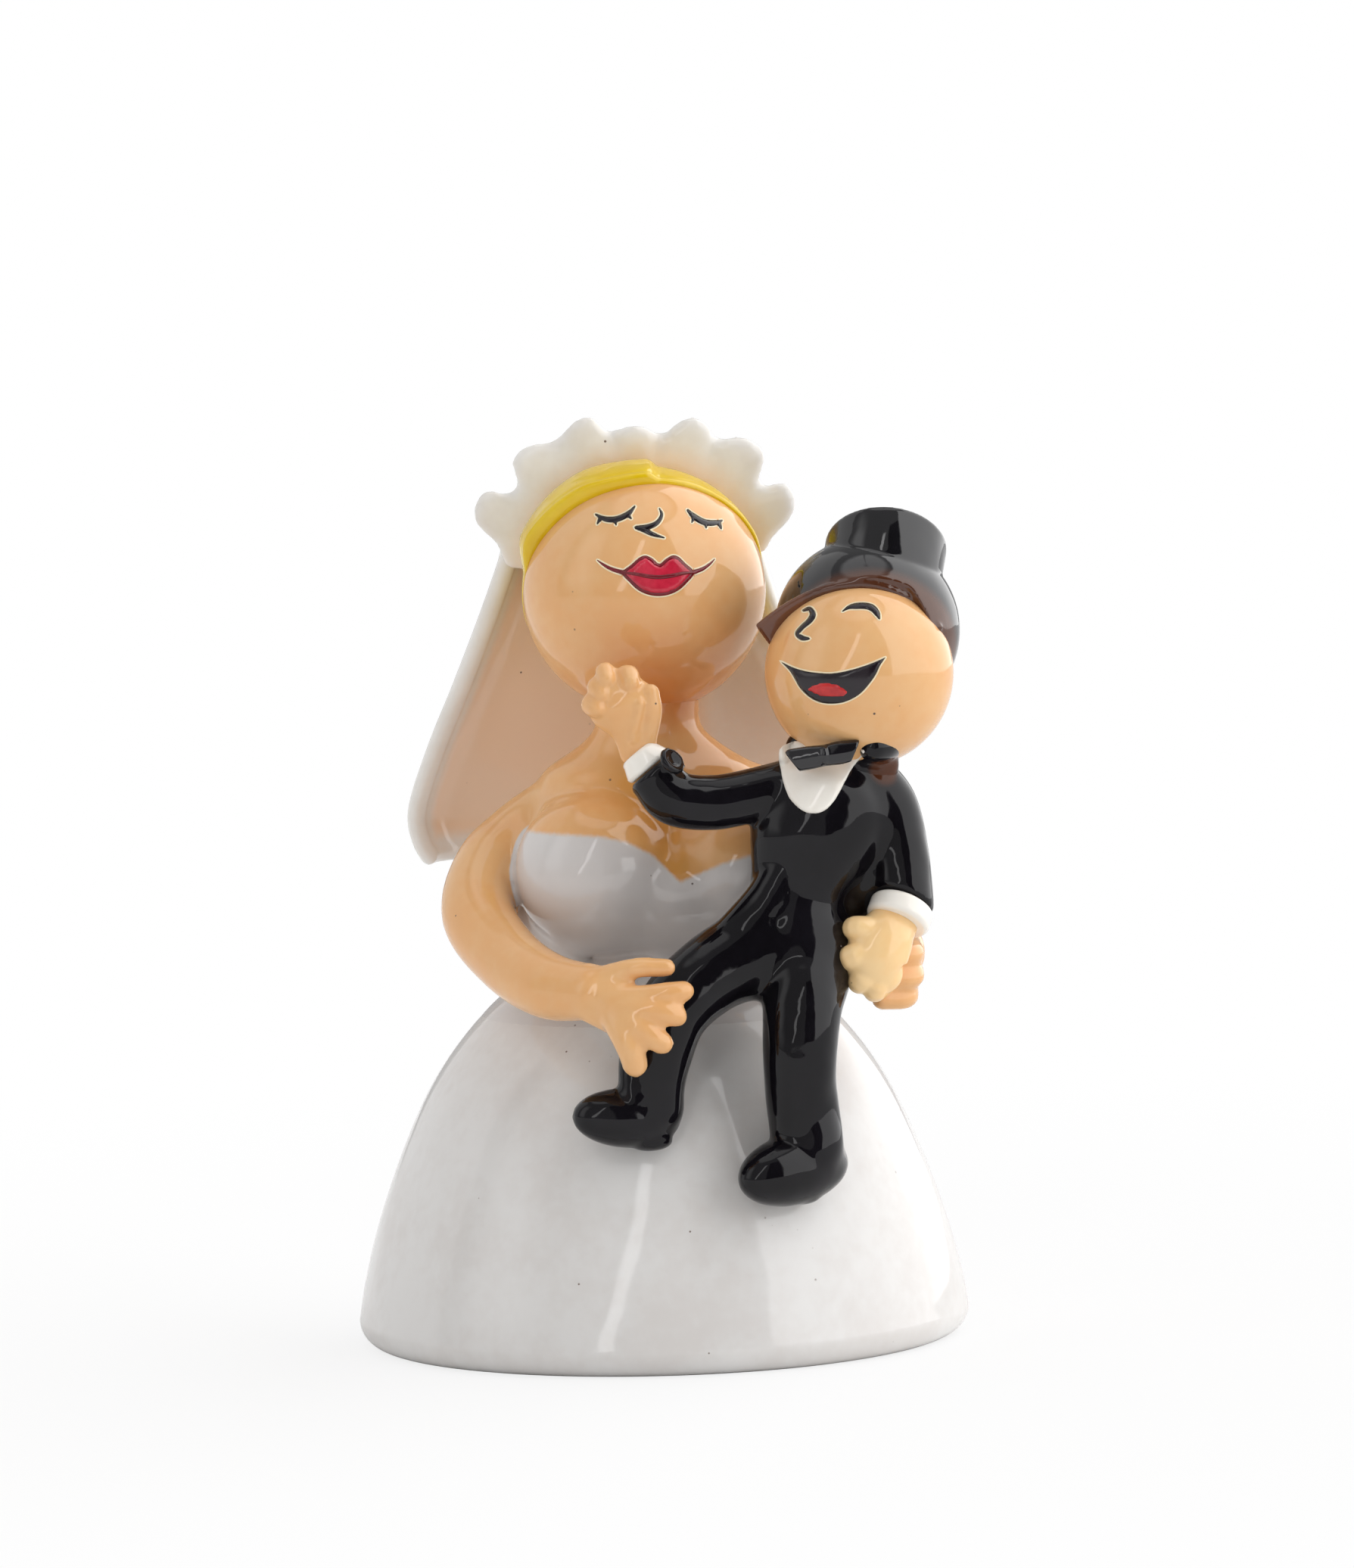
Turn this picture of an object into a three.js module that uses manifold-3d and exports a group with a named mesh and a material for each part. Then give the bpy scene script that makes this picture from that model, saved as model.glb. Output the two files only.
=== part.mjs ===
// Wedding cake topper: a bride who carries her groom in her arms, cast in glazed pieces that are pegged
// and cemented together. Millimetres, +Z up, the couple faces -Y, and the origin is the middle of the
// flat underside. Her right and his right are on the -X side.
import * as THREE from "three";
import { mergeVertices } from "three/addons/utils/BufferGeometryUtils.js";
import Module from "manifold-3d";

const wasm = await Module();
wasm.setup();

// Driving dimensions
const skirtHeight = 62;
const skirtRadius = 49.8;
const coupleHeight = 88; // from the waist seam to the tips of the headpiece
const brideHeadRadius = 19.7;
const groomHeadRadius = 15;

// Fits shared by all pieces
const seatGap = 0.3; // cement line between two castings that touch
const pegRadius = 1.9;
const pegClearance = 0.25;
const pegReach = 4; // how far a peg goes into each of its two castings
const weldDistance = 0.0001; // points of one surface that are closer than this are one point

// Skirt and base
const skirtDepthShare = 0.94; // front to back against side to side
const skirtTopRadius = 17;
const skirtWall = 4;
const hemRadius = 4.2;
const footWidth = 2.6;
const waistOpeningRadius = 9;
const waistPlugLength = 7;
const baseThickness = 3;
const baseLedge = 2.2;
const ventRadius = 5;
const ventOffset = 14;

// Bride's body
const waistRadius = 13.5;
const ribRadius = 19.6;
const shoulderHalfWidth = 18.6;
const neckRadius = 8.4;
const neckPlugLength = 3;
const torsoDepthShare = 0.66;
const bustRadius = 13.3;
const brideUpperArmRadius = 6;
const brideForearmRadius = 5.6;
const brideWristRadius = 4.7;

// Bride's hair, headpiece and veil
const hairThickness = 1.3;
const hairlineOffset = 0.9; // from the middle of the head to the plane of the hairline
const ruffleThickness = 2.8;
const ruffleRoot = 17; // inner edge, inside the hair
const ruffleFold = 1.8; // how far the middle of each scallop stands in front of its creases
const ruffleSetback = 5; // from the middle of the head back to the top scallop
const ruffleSweep = 7; // how much further back the outer scallops lie
const ruffleHalfTurn = 80; // degrees from the top of the head to each end of the headpiece
const veilThickness = 3;
const veilHalfWidth = 36.9;
const veilDepth = 15;

// Groom's body
const groomHipRadius = 9.8;
const groomWaistRadius = 7.3;
const groomChestRadius = 10.2;
const groomShoulderRadius = 7;
const groomDepthShare = 0.76;
const thighRadius = 6.4;
const kneeRadius = 5.9;
const calfRadius = 5.6;
const ankleRadius = 5.1;
const shoeHalfLength = 8.9;
const shoeHalfHeight = 4.7;
const heelRadius = 3.6;
const sleeveRadius = 4.4;
const sleeveTopRadius = 5.3;
const rightCuffRadius = 4.2;
const leftCuffRadius = 4.9;
const cuffLength = 3.4;
const cuffRound = 0.8;
const collarRadius = 2.7;
const collarReach = 7;
const collarRise = 1.4;
const collarHalfTurn = 140; // degrees from the back of the neck to each end of the collar

// Groom's hat, shirt front and bow tie
const hatCrownRadius = 9.6;
const hatTopRadius = 9.7;
const hatCrownFoot = 4; // how far the crown runs on down inside the dome
const hatDomeRadius = 14.8;
const hatBrimHalfWidth = 16.3;
const hatBrimRise = 7.9; // from the line between the brim's two tips to its top edge
const hatBrimDrop = 15; // from that line to its hidden edge behind the head
const hatLip = 0.7;
const shirtThickness = 0.8;
const shirtWidth = 12;
const shirtLength = 10.9;
const bowWidth = 11.4;
const bowHeight = 5.2;
const bowThickness = 2.6;

// Hands
const bridePalmWidth = 11.4;
const bridePalmLength = 12;
const brideFingerRadius = 2.05;
const brideFingerLength = 5.5;
const brideThumbLength = 6;
const groomPalmWidth = 10.6;
const groomPalmLength = 13.2;
const groomWristRadius = 3.3;
const groomFingerRadius = 1.9;
const groomFingerLength = 5.6;
const groomThumbLength = 4.6;
const fistWidth = 12.6;
const fistLength = 11;

// Facets
const skirtSides = 40;
const headSides = 26;
const roundSides = 16;
const torsoSides = 26;
const pegSides = 8;
const hatSides = 24;
const limbSides = 12;
const fingerSides = 6;
const arcSteps = 3;
const collarSteps = 6;
const ruffleRows = 3;
const veilColumns = 16;
const smallCapSteps = 2;

// Outer line of the skirt above the hem: height and radius as shares of the skirt's own
const skirtShares = [
  [0.06, 1],
  [0.16, 0.98],
  [0.32, 0.928],
  [0.53, 0.832],
  [0.685, 0.738],
  [0.8, 0.638],
  [0.9, 0.52],
  [0.97, 0.405],
];

// Rings of the bride's body: height as a share of the couple's, then which size it follows, and its share
const torsoShares = [
  [0, "seam", 1],
  [0.045, "waist", 1.09],
  [0.085, "waist", 1],
  [0.16, "ribs", 0.9],
  [0.24, "ribs", 1],
  [0.3, "shoulders", 0.97],
  [0.345, "shoulders", 0.97],
  [0.378, "shoulders", 0.75],
  [0.403, "neck", 1.28],
  [0.43, "neck", 1.02],
  [0.48, "neck", 1],
];
const torsoSizes = {
  seam: skirtTopRadius,
  waist: waistRadius,
  ribs: ribRadius,
  shoulders: shoulderHalfWidth,
  neck: neckRadius,
};

// Places on the couple from the middle of the waist seam: across and back as shares of the ribs' radius,
// and height as a share of the couple's
const placeShares = {
  neckTop: [0, -0.202, 0.479],
  bustRight: [-0.449, -0.602, 0.174],
  bustLeft: [0.763, -0.503, 0.172],
  brideRightArm: [
    [-0.664, 0.049, 0.291],
    [-1.042, 0, 0.241],
    [-1.324, -0.278, 0.182],
    [-1.432, -0.696, 0.107],
    [-1.194, -1.275, 0.035],
  ],
  brideLeftArm: [
    [0.718, 0.049, 0.3],
    [1.122, 0, 0.265],
    [1.531, -0.103, 0.2],
    [1.841, -0.359, 0.1],
    [1.967, -0.718, 0.042],
  ],
  groomNape: [1.607, -1.401, 0.364],
  groomChin: [1.724, -1.378, 0.364],
  groomBody: [
    [1.073, -1.58, 0.02],
    [1.113, -1.58, 0.075],
    [1.154, -1.58, 0.142],
    [1.302, -1.531, 0.239],
    [1.482, -1.455, 0.318],
    [1.58, -1.41, 0.366],
  ],
  groomRightLeg: [
    [0.867, -1.634, 0.045],
  ],
  groomLeftLeg: [
    [1.226, -1.634, 0],
  ],
  groomRightSleeve: [
    [1.226, -1.482, 0.33],
    [0.867, -1.58, 0.322],
    [0.512, -1.684, 0.312],
    [0.184, -1.733, 0.325],
    [0.022, -1.706, 0.375],
  ],
  groomLeftSleeve: [
    [1.76, -1.378, 0.335],
    [1.904, -1.401, 0.29],
    [2.002, -1.446, 0.205],
    [2.029, -1.527, 0.117],
  ],
  leftShoulderSeam: [1.809, -1.459, 0.256],
  shirtTop: [1.374, -2.02, 0.412],
};

// Places at the end of a limb that lie before the skirt: across as a share of the ribs' radius, back as a
// share of half the skirt's depth, and height as a share of the skirt's
const skirtPlaceShares = {
  brideRightArm: [
    [-0.844, -0.771, 0.99],
    [-0.485, -0.929, 0.982],
  ],
  groomRightLeg: [
    [0.458, -0.769, 1.009],
    [0.144, -0.833, 0.923],
    [0.013, -0.855, 0.823],
    [-0.036, -0.855, 0.726],
  ],
  groomLeftLeg: [
    [1.185, -0.79, 0.919],
    [1.154, -0.823, 0.807],
    [1.149, -0.823, 0.693],
    [1.149, -0.823, 0.605],
  ],
};

// Ways that pieces point, as shares of a unit along X, Y and Z
const wayShares = {
  hairline: [-0.145, 0.858, 0.493],
  hatBrim: [0, 0.876, 0.482],
  crownFoot: [0.155, 0.36, 0.92],
  crownTop: [0.09, 0.67, 0.74],
  rightShoe: [-0.94, -0.3, 0.1],
  leftShoe: [-0.76, -0.63, -0.1],
  rightCuff: [-0.62, 0.1, 0.78],
  leftCuff: [-0.34, -0.5, -0.8],
};

// Rows of the veil from its top to its hem: height, middle and front edge from the middle of her head as
// shares of its radius, half-width as a share of the veil's, and depth as a share of the veil's depth
const veilShares = [
  { height: 1.083, middle: -0.018, edge: 0.335, wide: 0.14, deep: 0.1 },
  { height: 0.998, middle: -0.027, edge: 0.344, wide: 0.255, deep: 0.27 },
  { height: 0.815, middle: -0.054, edge: 0.362, wide: 0.385, deep: 0.57 },
  { height: 0.529, middle: -0.089, edge: 0.447, wide: 0.51, deep: 0.78 },
  { height: 0.203, middle: -0.107, edge: 0.558, wide: 0.56, deep: 0.79 },
  { height: -0.275, middle: -0.125, edge: 0.648, wide: 0.65, deep: 0.82 },
  { height: -0.811, middle: -0.125, edge: 0.715, wide: 0.77, deep: 0.88 },
  { height: -1.32, middle: -0.125, edge: 0.773, wide: 0.89, deep: 0.94 },
  { height: -1.807, middle: -0.125, edge: 0.809, wide: 0.98, deep: 1 },
  { height: -2.084, middle: -0.116, edge: 0.826, wide: 0.97, deep: 1 },
  { height: -2.263, middle: -0.107, edge: 0.862, wide: 0.92, deep: 0.97 },
];

// Shirt front from its top left corner round its point: shares of its width and length
const shirtShares = [
  [-0.5, 0],
  [-0.52, -0.35],
  [-0.42, -0.75],
  [-0.2, -0.97],
  [0.02, -0.97],
  [0.2, -0.8],
  [0.4, -0.4],
  [0.55, 0],
];

// Each shoe: how far its middle lies in front of the ankle, as a share of half its length, and its size
const shoeShares = {
  groomRightLeg: { toe: 0.5, size: 1 },
  groomLeftLeg: { toe: 0.17, size: 1.15 },
};

// Middle of the bow tie from the middle of the groom's head, as shares of its radius
const bowKnotShares = [-0.387, -0.757, -0.847];

// Middles of the hat's parts from the middle of the groom's head, as shares of its radius
const hatShares = {
  dome: [0.107, 0.367, 0.428],
  brim: [0, -0.16, 0.538],
  crownFoot: [0.3, 0.493, 1.107],
  crownTop: [0.34, 0.62, 1.325],
};

// Outer edge of the headpiece from her right to her left: turn from the top of her head as a share of the
// half turn, reach from the middle of her head as a share of its radius, and how far it is folded forward
const ruffleShares = [
  [-0.985, 1.19, 0.2],
  [-0.91, 1.25, 0.6],
  [-0.855, 1.42, 0.9],
  [-0.795, 1.55, 1],
  [-0.75, 1.56, 1],
  [-0.695, 1.48, 0.6],
  [-0.626, 1.345, 0],
  [-0.575, 1.45, 0.6],
  [-0.521, 1.53, 1],
  [-0.455, 1.51, 0.8],
  [-0.36, 1.435, 0],
  [-0.295, 1.475, 0.6],
  [-0.225, 1.5, 1],
  [-0.174, 1.42, 0.6],
  [-0.135, 1.335, 0],
  [-0.08, 1.345, 0.8],
  [-0.016, 1.35, 1],
  [0.04, 1.325, 0.7],
  [0.085, 1.302, 0],
  [0.148, 1.37, 0.6],
  [0.2, 1.455, 0.9],
  [0.245, 1.475, 1],
  [0.29, 1.44, 0.5],
  [0.33, 1.39, 0],
  [0.38, 1.43, 0.5],
  [0.445, 1.495, 1],
  [0.505, 1.512, 1],
  [0.56, 1.44, 0.6],
  [0.616, 1.302, 0],
  [0.665, 1.41, 0.6],
  [0.716, 1.47, 1],
  [0.775, 1.435, 1],
  [0.83, 1.31, 0.7],
  [0.88, 1.13, 0.4],
  [0.924, 1.06, 0.2],
];

// Places along the bow tie and its height there, as shares of its width and height
const bowShares = [
  [-0.38, 0.5],
  [-0.2, 0.42],
  [0, 0.3],
  [0.2, 0.42],
  [0.38, 0.5],
];

// Where each limb comes out of its neighbour, as a share of the way to its second place
const seamShares = {
  brideRightArm: 0.6,
  brideLeftArm: 0.6,
  groomRightLeg: 0.5,
  groomLeftLeg: 0.7,
  groomRightSleeve: 0.8,
};

// Thickness of a sheet at its rim and one step in from it
const sheetEdgeShares = [0.3, 0.8];

const glaze = {
  white: { color: 0xf1efec, roughness: 0.12 },
  skin: { color: 0xe6b27c, roughness: 0.14 },
  yellow: { color: 0xe3c41e, roughness: 0.16 },
  black: { color: 0x17161a, roughness: 0.1 },
};

const origin = new THREE.Vector3();
const across = new THREE.Vector3(1, 0, 0);
const back = new THREE.Vector3(0, 1, 0);
const up = new THREE.Vector3(0, 0, 1);
const degrees = THREE.MathUtils.degToRad;

/** A place on the couple from its shares. */
function place([x, y, z]) {
  return new THREE.Vector3(x * ribRadius, y * ribRadius, skirtHeight + z * coupleHeight);
}

/** A place before the skirt from its shares. */
function placeBeforeSkirt([x, y, z]) {
  return new THREE.Vector3(x * ribRadius, y * skirtRadius * skirtDepthShare, z * skirtHeight);
}

/** The places that a limb passes through, from the body outwards. */
function placesOf(name) {
  return [...placeShares[name].map(place), ...(skirtPlaceShares[name] ?? []).map(placeBeforeSkirt)];
}

/** A unit vector from its shares. */
function way(shares) {
  return new THREE.Vector3(...shares).normalize();
}

/** The place that lies a distance away along a unit vector. */
function beyond(from, along, distance) {
  return from.clone().addScaledVector(along, distance);
}

// Solids

/** A closed three.js geometry as a solid with its faces pointing out. */
function solid(geometry) {
  const bare = geometry.index ? geometry.toNonIndexed() : geometry.clone();
  bare.deleteAttribute("normal");
  bare.deleteAttribute("uv");
  const merged = mergeVertices(bare, weldDistance);
  const faces = new Uint32Array(merged.index.array);
  const build = () =>
    new wasm.Manifold(
      new wasm.Mesh({ numProp: 3, vertProperties: merged.attributes.position.array, triVerts: faces }),
    );
  const made = build();
  if (made.volume() > 0) return made;
  faces.reverse();
  return build();
}

/** Points and the faces between them as a solid. */
function solidOfFaces(points, faces) {
  const geometry = new THREE.BufferGeometry().setFromPoints(points);
  geometry.setIndex(faces);
  return solid(geometry);
}

/** Rings of points, all of one count, skinned into a closed surface with a pole at each end. */
function skin(rings, firstPole, lastPole) {
  const count = rings[0].length;
  const points = [firstPole, ...rings.flat(), lastPole];
  const last = points.length - 1;
  const end = rings.length - 1;
  const at = (ring, i) => 1 + ring * count + (i % count);
  const faces = [];
  for (let i = 0; i < count; i++) {
    faces.push(0, at(0, i + 1), at(0, i));
    faces.push(last, at(end, i), at(end, i + 1));
    for (let ring = 0; ring < end; ring++) {
      faces.push(at(ring, i), at(ring, i + 1), at(ring + 1, i + 1));
      faces.push(at(ring, i), at(ring + 1, i + 1), at(ring + 1, i));
    }
  }
  return solidOfFaces(points, faces);
}

/** An oval of points about a centre, from two half-axis vectors. */
function oval(centre, halfWide, halfDeep, count) {
  return Array.from({ length: count }, (_, i) => {
    const turn = (i / count) * 2 * Math.PI;
    return centre
      .clone()
      .addScaledVector(halfWide, Math.cos(turn))
      .addScaledVector(halfDeep, Math.sin(turn));
  });
}

/** Smooth value of a list of numbers at a share of its length. */
function valueAt(values, share) {
  const spot = share * (values.length - 1);
  const i = Math.max(0, Math.min(Math.floor(spot), values.length - 2));
  const value = (k) => values[Math.max(0, Math.min(values.length - 1, k))];
  const t = spot - i;
  const leaving = (value(i + 1) - value(i - 1)) / 2;
  const arriving = (value(i + 2) - value(i)) / 2;
  const rise = value(i + 1) - value(i);
  const bend = 3 * rise - 2 * leaving - arriving;
  return value(i) + t * (leaving + t * (bend + t * (leaving + arriving - 2 * rise)));
}

/** A limb: a round or oval section swept smoothly through places, with round ends. `flat` is the way
    in which the section is `flatShare` as deep as it is wide. */
function limb(places, radii, grow, { steps = 2, sides = limbSides, caps = arcSteps, flat = null, flatShare = 1 } = {}) {
  const curve = new THREE.CatmullRomCurve3(places, false, "centripetal");
  const count = (places.length - 1) * steps;
  const rings = [];
  let side = flat ?? back;
  const frameAt = (share) => {
    const tangent = curve.getTangent(share);
    side = side.clone().addScaledVector(tangent, -side.dot(tangent)).normalize();
    const wide = valueAt(radii, share) + grow;
    return {
      at: curve.getPoint(share),
      tangent,
      wide: tangent.clone().cross(side).multiplyScalar(wide),
      deep: side.clone().multiplyScalar(valueAt(radii, share) * flatShare + grow),
      reach: valueAt(radii, share) * flatShare + grow,
    };
  };
  const addRing = ({ at, tangent, wide, deep, reach }, tilt, outward) => {
    const shrink = Math.cos(tilt);
    const centre = beyond(at, tangent, outward * reach * Math.sin(tilt));
    const halfWide = wide.clone().multiplyScalar(shrink);
    rings.push(oval(centre, halfWide, deep.clone().multiplyScalar(shrink), sides));
  };
  const tiltOf = (k) => (k / caps) * (Math.PI / 2);
  const first = frameAt(0);
  for (let k = caps - 1; k > 0; k--) addRing(first, tiltOf(k), -1);
  for (let i = 0; i <= count; i++) addRing(frameAt(i / count), 0, 1);
  const last = frameAt(1);
  for (let k = 1; k < caps; k++) addRing(last, tiltOf(k), 1);
  return skin(rings, beyond(first.at, first.tangent, -first.reach), beyond(last.at, last.tangent, last.reach));
}

/** An ellipsoid about a centre, with its first two half-axes along two unit vectors. */
function ellipsoid(centre, along, aside, [long, wide, high], grow, sides = roundSides) {
  const geometry = new THREE.SphereGeometry(1, sides, Math.round(sides / 2));
  geometry.rotateX(Math.PI / 2);
  geometry.scale(long + grow, wide + grow, high + grow);
  const axes = new THREE.Matrix4().makeBasis(along, aside, along.clone().cross(aside));
  geometry.applyMatrix4(axes.setPosition(centre));
  return solid(geometry);
}

/** An ellipsoid whose second half-axis is level. */
function levelEllipsoid(centre, along, halves, grow, sides) {
  return ellipsoid(centre, along, up.clone().cross(along).normalize(), halves, grow, sides);
}

/** A ball about a centre. */
function ball(centre, radius, grow, sides) {
  return ellipsoid(centre, across, back, [radius, radius, radius], grow, sides);
}

/** A profile of [radius, height] pairs revolved about an axis that starts at a place. */
function revolve(profile, at, axis, sides = roundSides) {
  const geometry = new THREE.LatheGeometry(
    profile.map(([r, h]) => new THREE.Vector2(r, h)),
    sides,
  );
  geometry.applyQuaternion(new THREE.Quaternion().setFromUnitVectors(back, axis));
  geometry.translate(at.x, at.y, at.z);
  return solid(geometry);
}

/** Points of an arc in a profile, from one angle to another. */
function arc(centreRadius, centreHeight, radius, from, to, steps = arcSteps) {
  return Array.from({ length: steps + 1 }, (_, i) => {
    const turn = from + ((to - from) * i) / steps;
    return [centreRadius + radius * Math.cos(turn), centreHeight + radius * Math.sin(turn)];
  });
}

/** A straight round rod between two places. */
function rod(from, to, radius, sides = pegSides) {
  const length = from.distanceTo(to);
  const axis = to.clone().sub(from).normalize();
  const profile = [
    [0, 0],
    [radius, 0],
    [radius, length],
    [0, length],
  ];
  return revolve(profile, from, axis, sides);
}

/** The half of space that a unit vector points into from a place, as far as `size` reaches. */
function halfSpace(at, normal, size) {
  const geometry = new THREE.BoxGeometry(2 * size, 2 * size, size);
  geometry.translate(0, 0, size / 2);
  geometry.applyQuaternion(new THREE.Quaternion().setFromUnitVectors(up, normal));
  geometry.translate(at.x, at.y, at.z);
  return solid(geometry);
}

/** A sheet: a surface of rows and columns with a thickness that thins to a rounded edge all round. */
function sheet(surface, thickness, rows, columns, grow) {
  const step = 1 / (4 * columns);
  const roundness = (i, count) => sheetEdgeShares[Math.min(i, count - i)] ?? 1;
  const faceOf = (side) => {
    const points = [];
    for (let i = 0; i <= rows; i++) {
      for (let j = 0; j <= columns; j++) {
        const u = i / rows;
        const v = j / columns;
        const alongU = surface(u + step, v).sub(surface(u - step, v)).normalize();
        const alongV = surface(u, v + step).sub(surface(u, v - step)).normalize();
        const half = (thickness / 2) * roundness(i, rows) * roundness(j, columns) + grow;
        const point = beyond(surface(u, v), alongU.clone().cross(alongV).normalize(), side * half);
        if (i === 0 || i === rows) point.addScaledVector(alongU, i === 0 ? -grow : grow);
        if (j === 0 || j === columns) point.addScaledVector(alongV, j === 0 ? -grow : grow);
        points.push(point);
      }
    }
    return points;
  };
  const points = [...faceOf(1), ...faceOf(-1)];
  const offset = points.length / 2;
  const at = (i, j) => i * (columns + 1) + j;
  const faces = [];
  const quad = (a, b, c, d) => faces.push(a, b, c, a, c, d);
  for (let i = 0; i < rows; i++) {
    for (let j = 0; j < columns; j++) {
      quad(at(i, j), at(i + 1, j), at(i + 1, j + 1), at(i, j + 1));
      quad(offset + at(i, j), offset + at(i, j + 1), offset + at(i + 1, j + 1), offset + at(i + 1, j));
    }
  }
  const rim = [];
  for (let j = 0; j < columns; j++) rim.push(at(0, j));
  for (let i = 0; i < rows; i++) rim.push(at(i, columns));
  for (let j = columns; j > 0; j--) rim.push(at(rows, j));
  for (let i = rows; i > 0; i--) rim.push(at(i, 0));
  rim.forEach((a, k) => {
    const b = rim[(k + 1) % rim.length];
    quad(a, b, offset + b, offset + a);
  });
  return solidOfFaces(points, faces);
}

/** The same solid, larger by `grow` on each side of its box. */
function grown(made, grow) {
  if (!grow) return made;
  const box = made.boundingBox();
  const middle = box.min.map((low, i) => (low + box.max[i]) / 2);
  const scale = box.min.map((low, i) => (box.max[i] - low + 2 * grow) / (box.max[i] - low));
  return made
    .translate(middle.map((m) => -m))
    .scale(scale)
    .translate(middle);
}

const join = (...solids) => solids.reduce((a, b) => a.add(b));

// Skirt and base

/** Outer line of the skirt from the foot to the top rim, as [radius, height]. */
function skirtLine() {
  const hem = arc(skirtRadius - hemRadius, hemRadius, hemRadius, -Math.PI / 2, 0);
  const above = skirtShares.map(([high, wide]) => new THREE.Vector2(wide * skirtRadius, high * skirtHeight));
  above[0].y = Math.max(above[0].y, hemRadius);
  const side = new THREE.SplineCurve([...above, new THREE.Vector2(skirtTopRadius, skirtHeight)]);
  return [...hem.slice(0, -1), ...side.getPoints(above.length + 2).map((p) => [p.x, p.y])];
}

const plateRadius = skirtRadius - hemRadius - footWidth;

/** The hollow skirt: a bell with a recess for its base below and the waist opening on top. */
function skirtForm(grow) {
  const outer = skirtLine();
  const cavityRadius = plateRadius - baseLedge;
  const roof = skirtHeight - skirtWall;
  const inner = outer
    .map(([r, h]) => [Math.min(r - skirtWall, cavityRadius), h])
    .filter(([r, h], i) => i % 2 && h > baseThickness && h < roof && r > waistOpeningRadius);
  const profile = [
    ...outer,
    [waistOpeningRadius, skirtHeight],
    [waistOpeningRadius, roof],
    ...inner.reverse(),
    [cavityRadius, baseThickness],
    [plateRadius, baseThickness],
    [plateRadius, 0],
    outer[0],
  ];
  return grown(flattened(revolve(profile, origin, up, skirtSides)), grow);
}

/** The disc that closes the skirt from below, with the hole that lets the kiln's hot air out. */
function basePlateForm() {
  const radius = plateRadius - seatGap;
  const thickness = baseThickness - seatGap;
  const profile = [
    [0, 0],
    [radius, 0],
    [radius, thickness],
    [0, thickness],
  ];
  const vent = new THREE.Vector3(0, ventOffset, 0);
  const drill = rod(beyond(vent, up, -baseThickness), beyond(vent, up, 2 * baseThickness), ventRadius, limbSides);
  return flattened(revolve(profile, origin, up, skirtSides)).subtract(drill);
}

/** A revolved solid made oval, front to back, as the skirt is. */
function flattened(made) {
  return made.scale([1, skirtDepthShare, 1]);
}

// Bride

const neckTop = place(placeShares.neckTop);
const brideHead = beyond(neckTop, up, Math.sqrt(brideHeadRadius ** 2 - neckRadius ** 2));

/** The bride's neck, chest and bodice, with the plug that drops into the skirt's waist opening. */
function torsoForm(grow) {
  const sections = torsoShares.map(([high, size, share]) => ({
    high: skirtHeight + seatGap + high * coupleHeight,
    half: torsoSizes[size] * share,
  }));
  const lowest = sections[0].high;
  const top = { high: neckTop.z + neckPlugLength, half: neckRadius };
  const lean = (high) => (neckTop.y * Math.max(0, high - lowest)) / (neckTop.z - lowest);
  const depthShare = (half) => Math.max(torsoDepthShare, Math.min(1, neckRadius / half));
  const rings = [...sections, top].map(({ high, half }, i) => {
    const deep = i === 0 ? half * skirtDepthShare : half * depthShare(half);
    const at = new THREE.Vector3(0, lean(high), i === 0 ? high - grow : high);
    return oval(at, new THREE.Vector3(half + grow, 0, 0), new THREE.Vector3(0, deep + grow, 0), torsoSides);
  });
  const body = skin(rings, new THREE.Vector3(0, 0, lowest - grow), new THREE.Vector3(0, neckTop.y, top.high + grow));
  const plugRadius = waistOpeningRadius - seatGap;
  const plugFoot = new THREE.Vector3(0, 0, skirtHeight - waistPlugLength);
  const plug = flattened(rod(plugFoot, new THREE.Vector3(0, 0, lowest + seatGap), plugRadius, roundSides));
  const bust = [placeShares.bustRight, placeShares.bustLeft].map((shares) => ball(place(shares), bustRadius, grow));
  return join(body, plug, ...bust);
}

/** The bride's hair: a cap on the back and top of her head, cut off square at the hairline. */
function hairForm(grow) {
  const normal = way(wayShares.hairline);
  const radius = brideHeadRadius + hairThickness;
  const cap = ball(brideHead, radius, grow, headSides);
  const keep = halfSpace(beyond(brideHead, normal, hairlineOffset - grow), normal, 2 * radius);
  return cap.intersect(keep);
}

/** The scalloped headpiece: a ruffle that stands like a fan on the hair, folded at each crease. */
function headpieceForm(grow) {
  const [turns, reaches, folds] = [0, 1, 2].map((k) => ruffleShares.map((row) => row[k]));
  const surface = (u, v) => {
    const side = valueAt(turns, v);
    const radius = ruffleRoot + (brideHeadRadius * valueAt(reaches, v) - ruffleRoot) * u;
    const angle = side * degrees(ruffleHalfTurn);
    const y = ruffleSetback + ruffleSweep * side * side - ruffleFold * valueAt(folds, v) * u;
    return new THREE.Vector3(radius * Math.sin(angle), y, radius * Math.cos(angle)).add(brideHead);
  };
  return sheet(surface, ruffleThickness, ruffleRows, ruffleShares.length - 1, grow);
}

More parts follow.
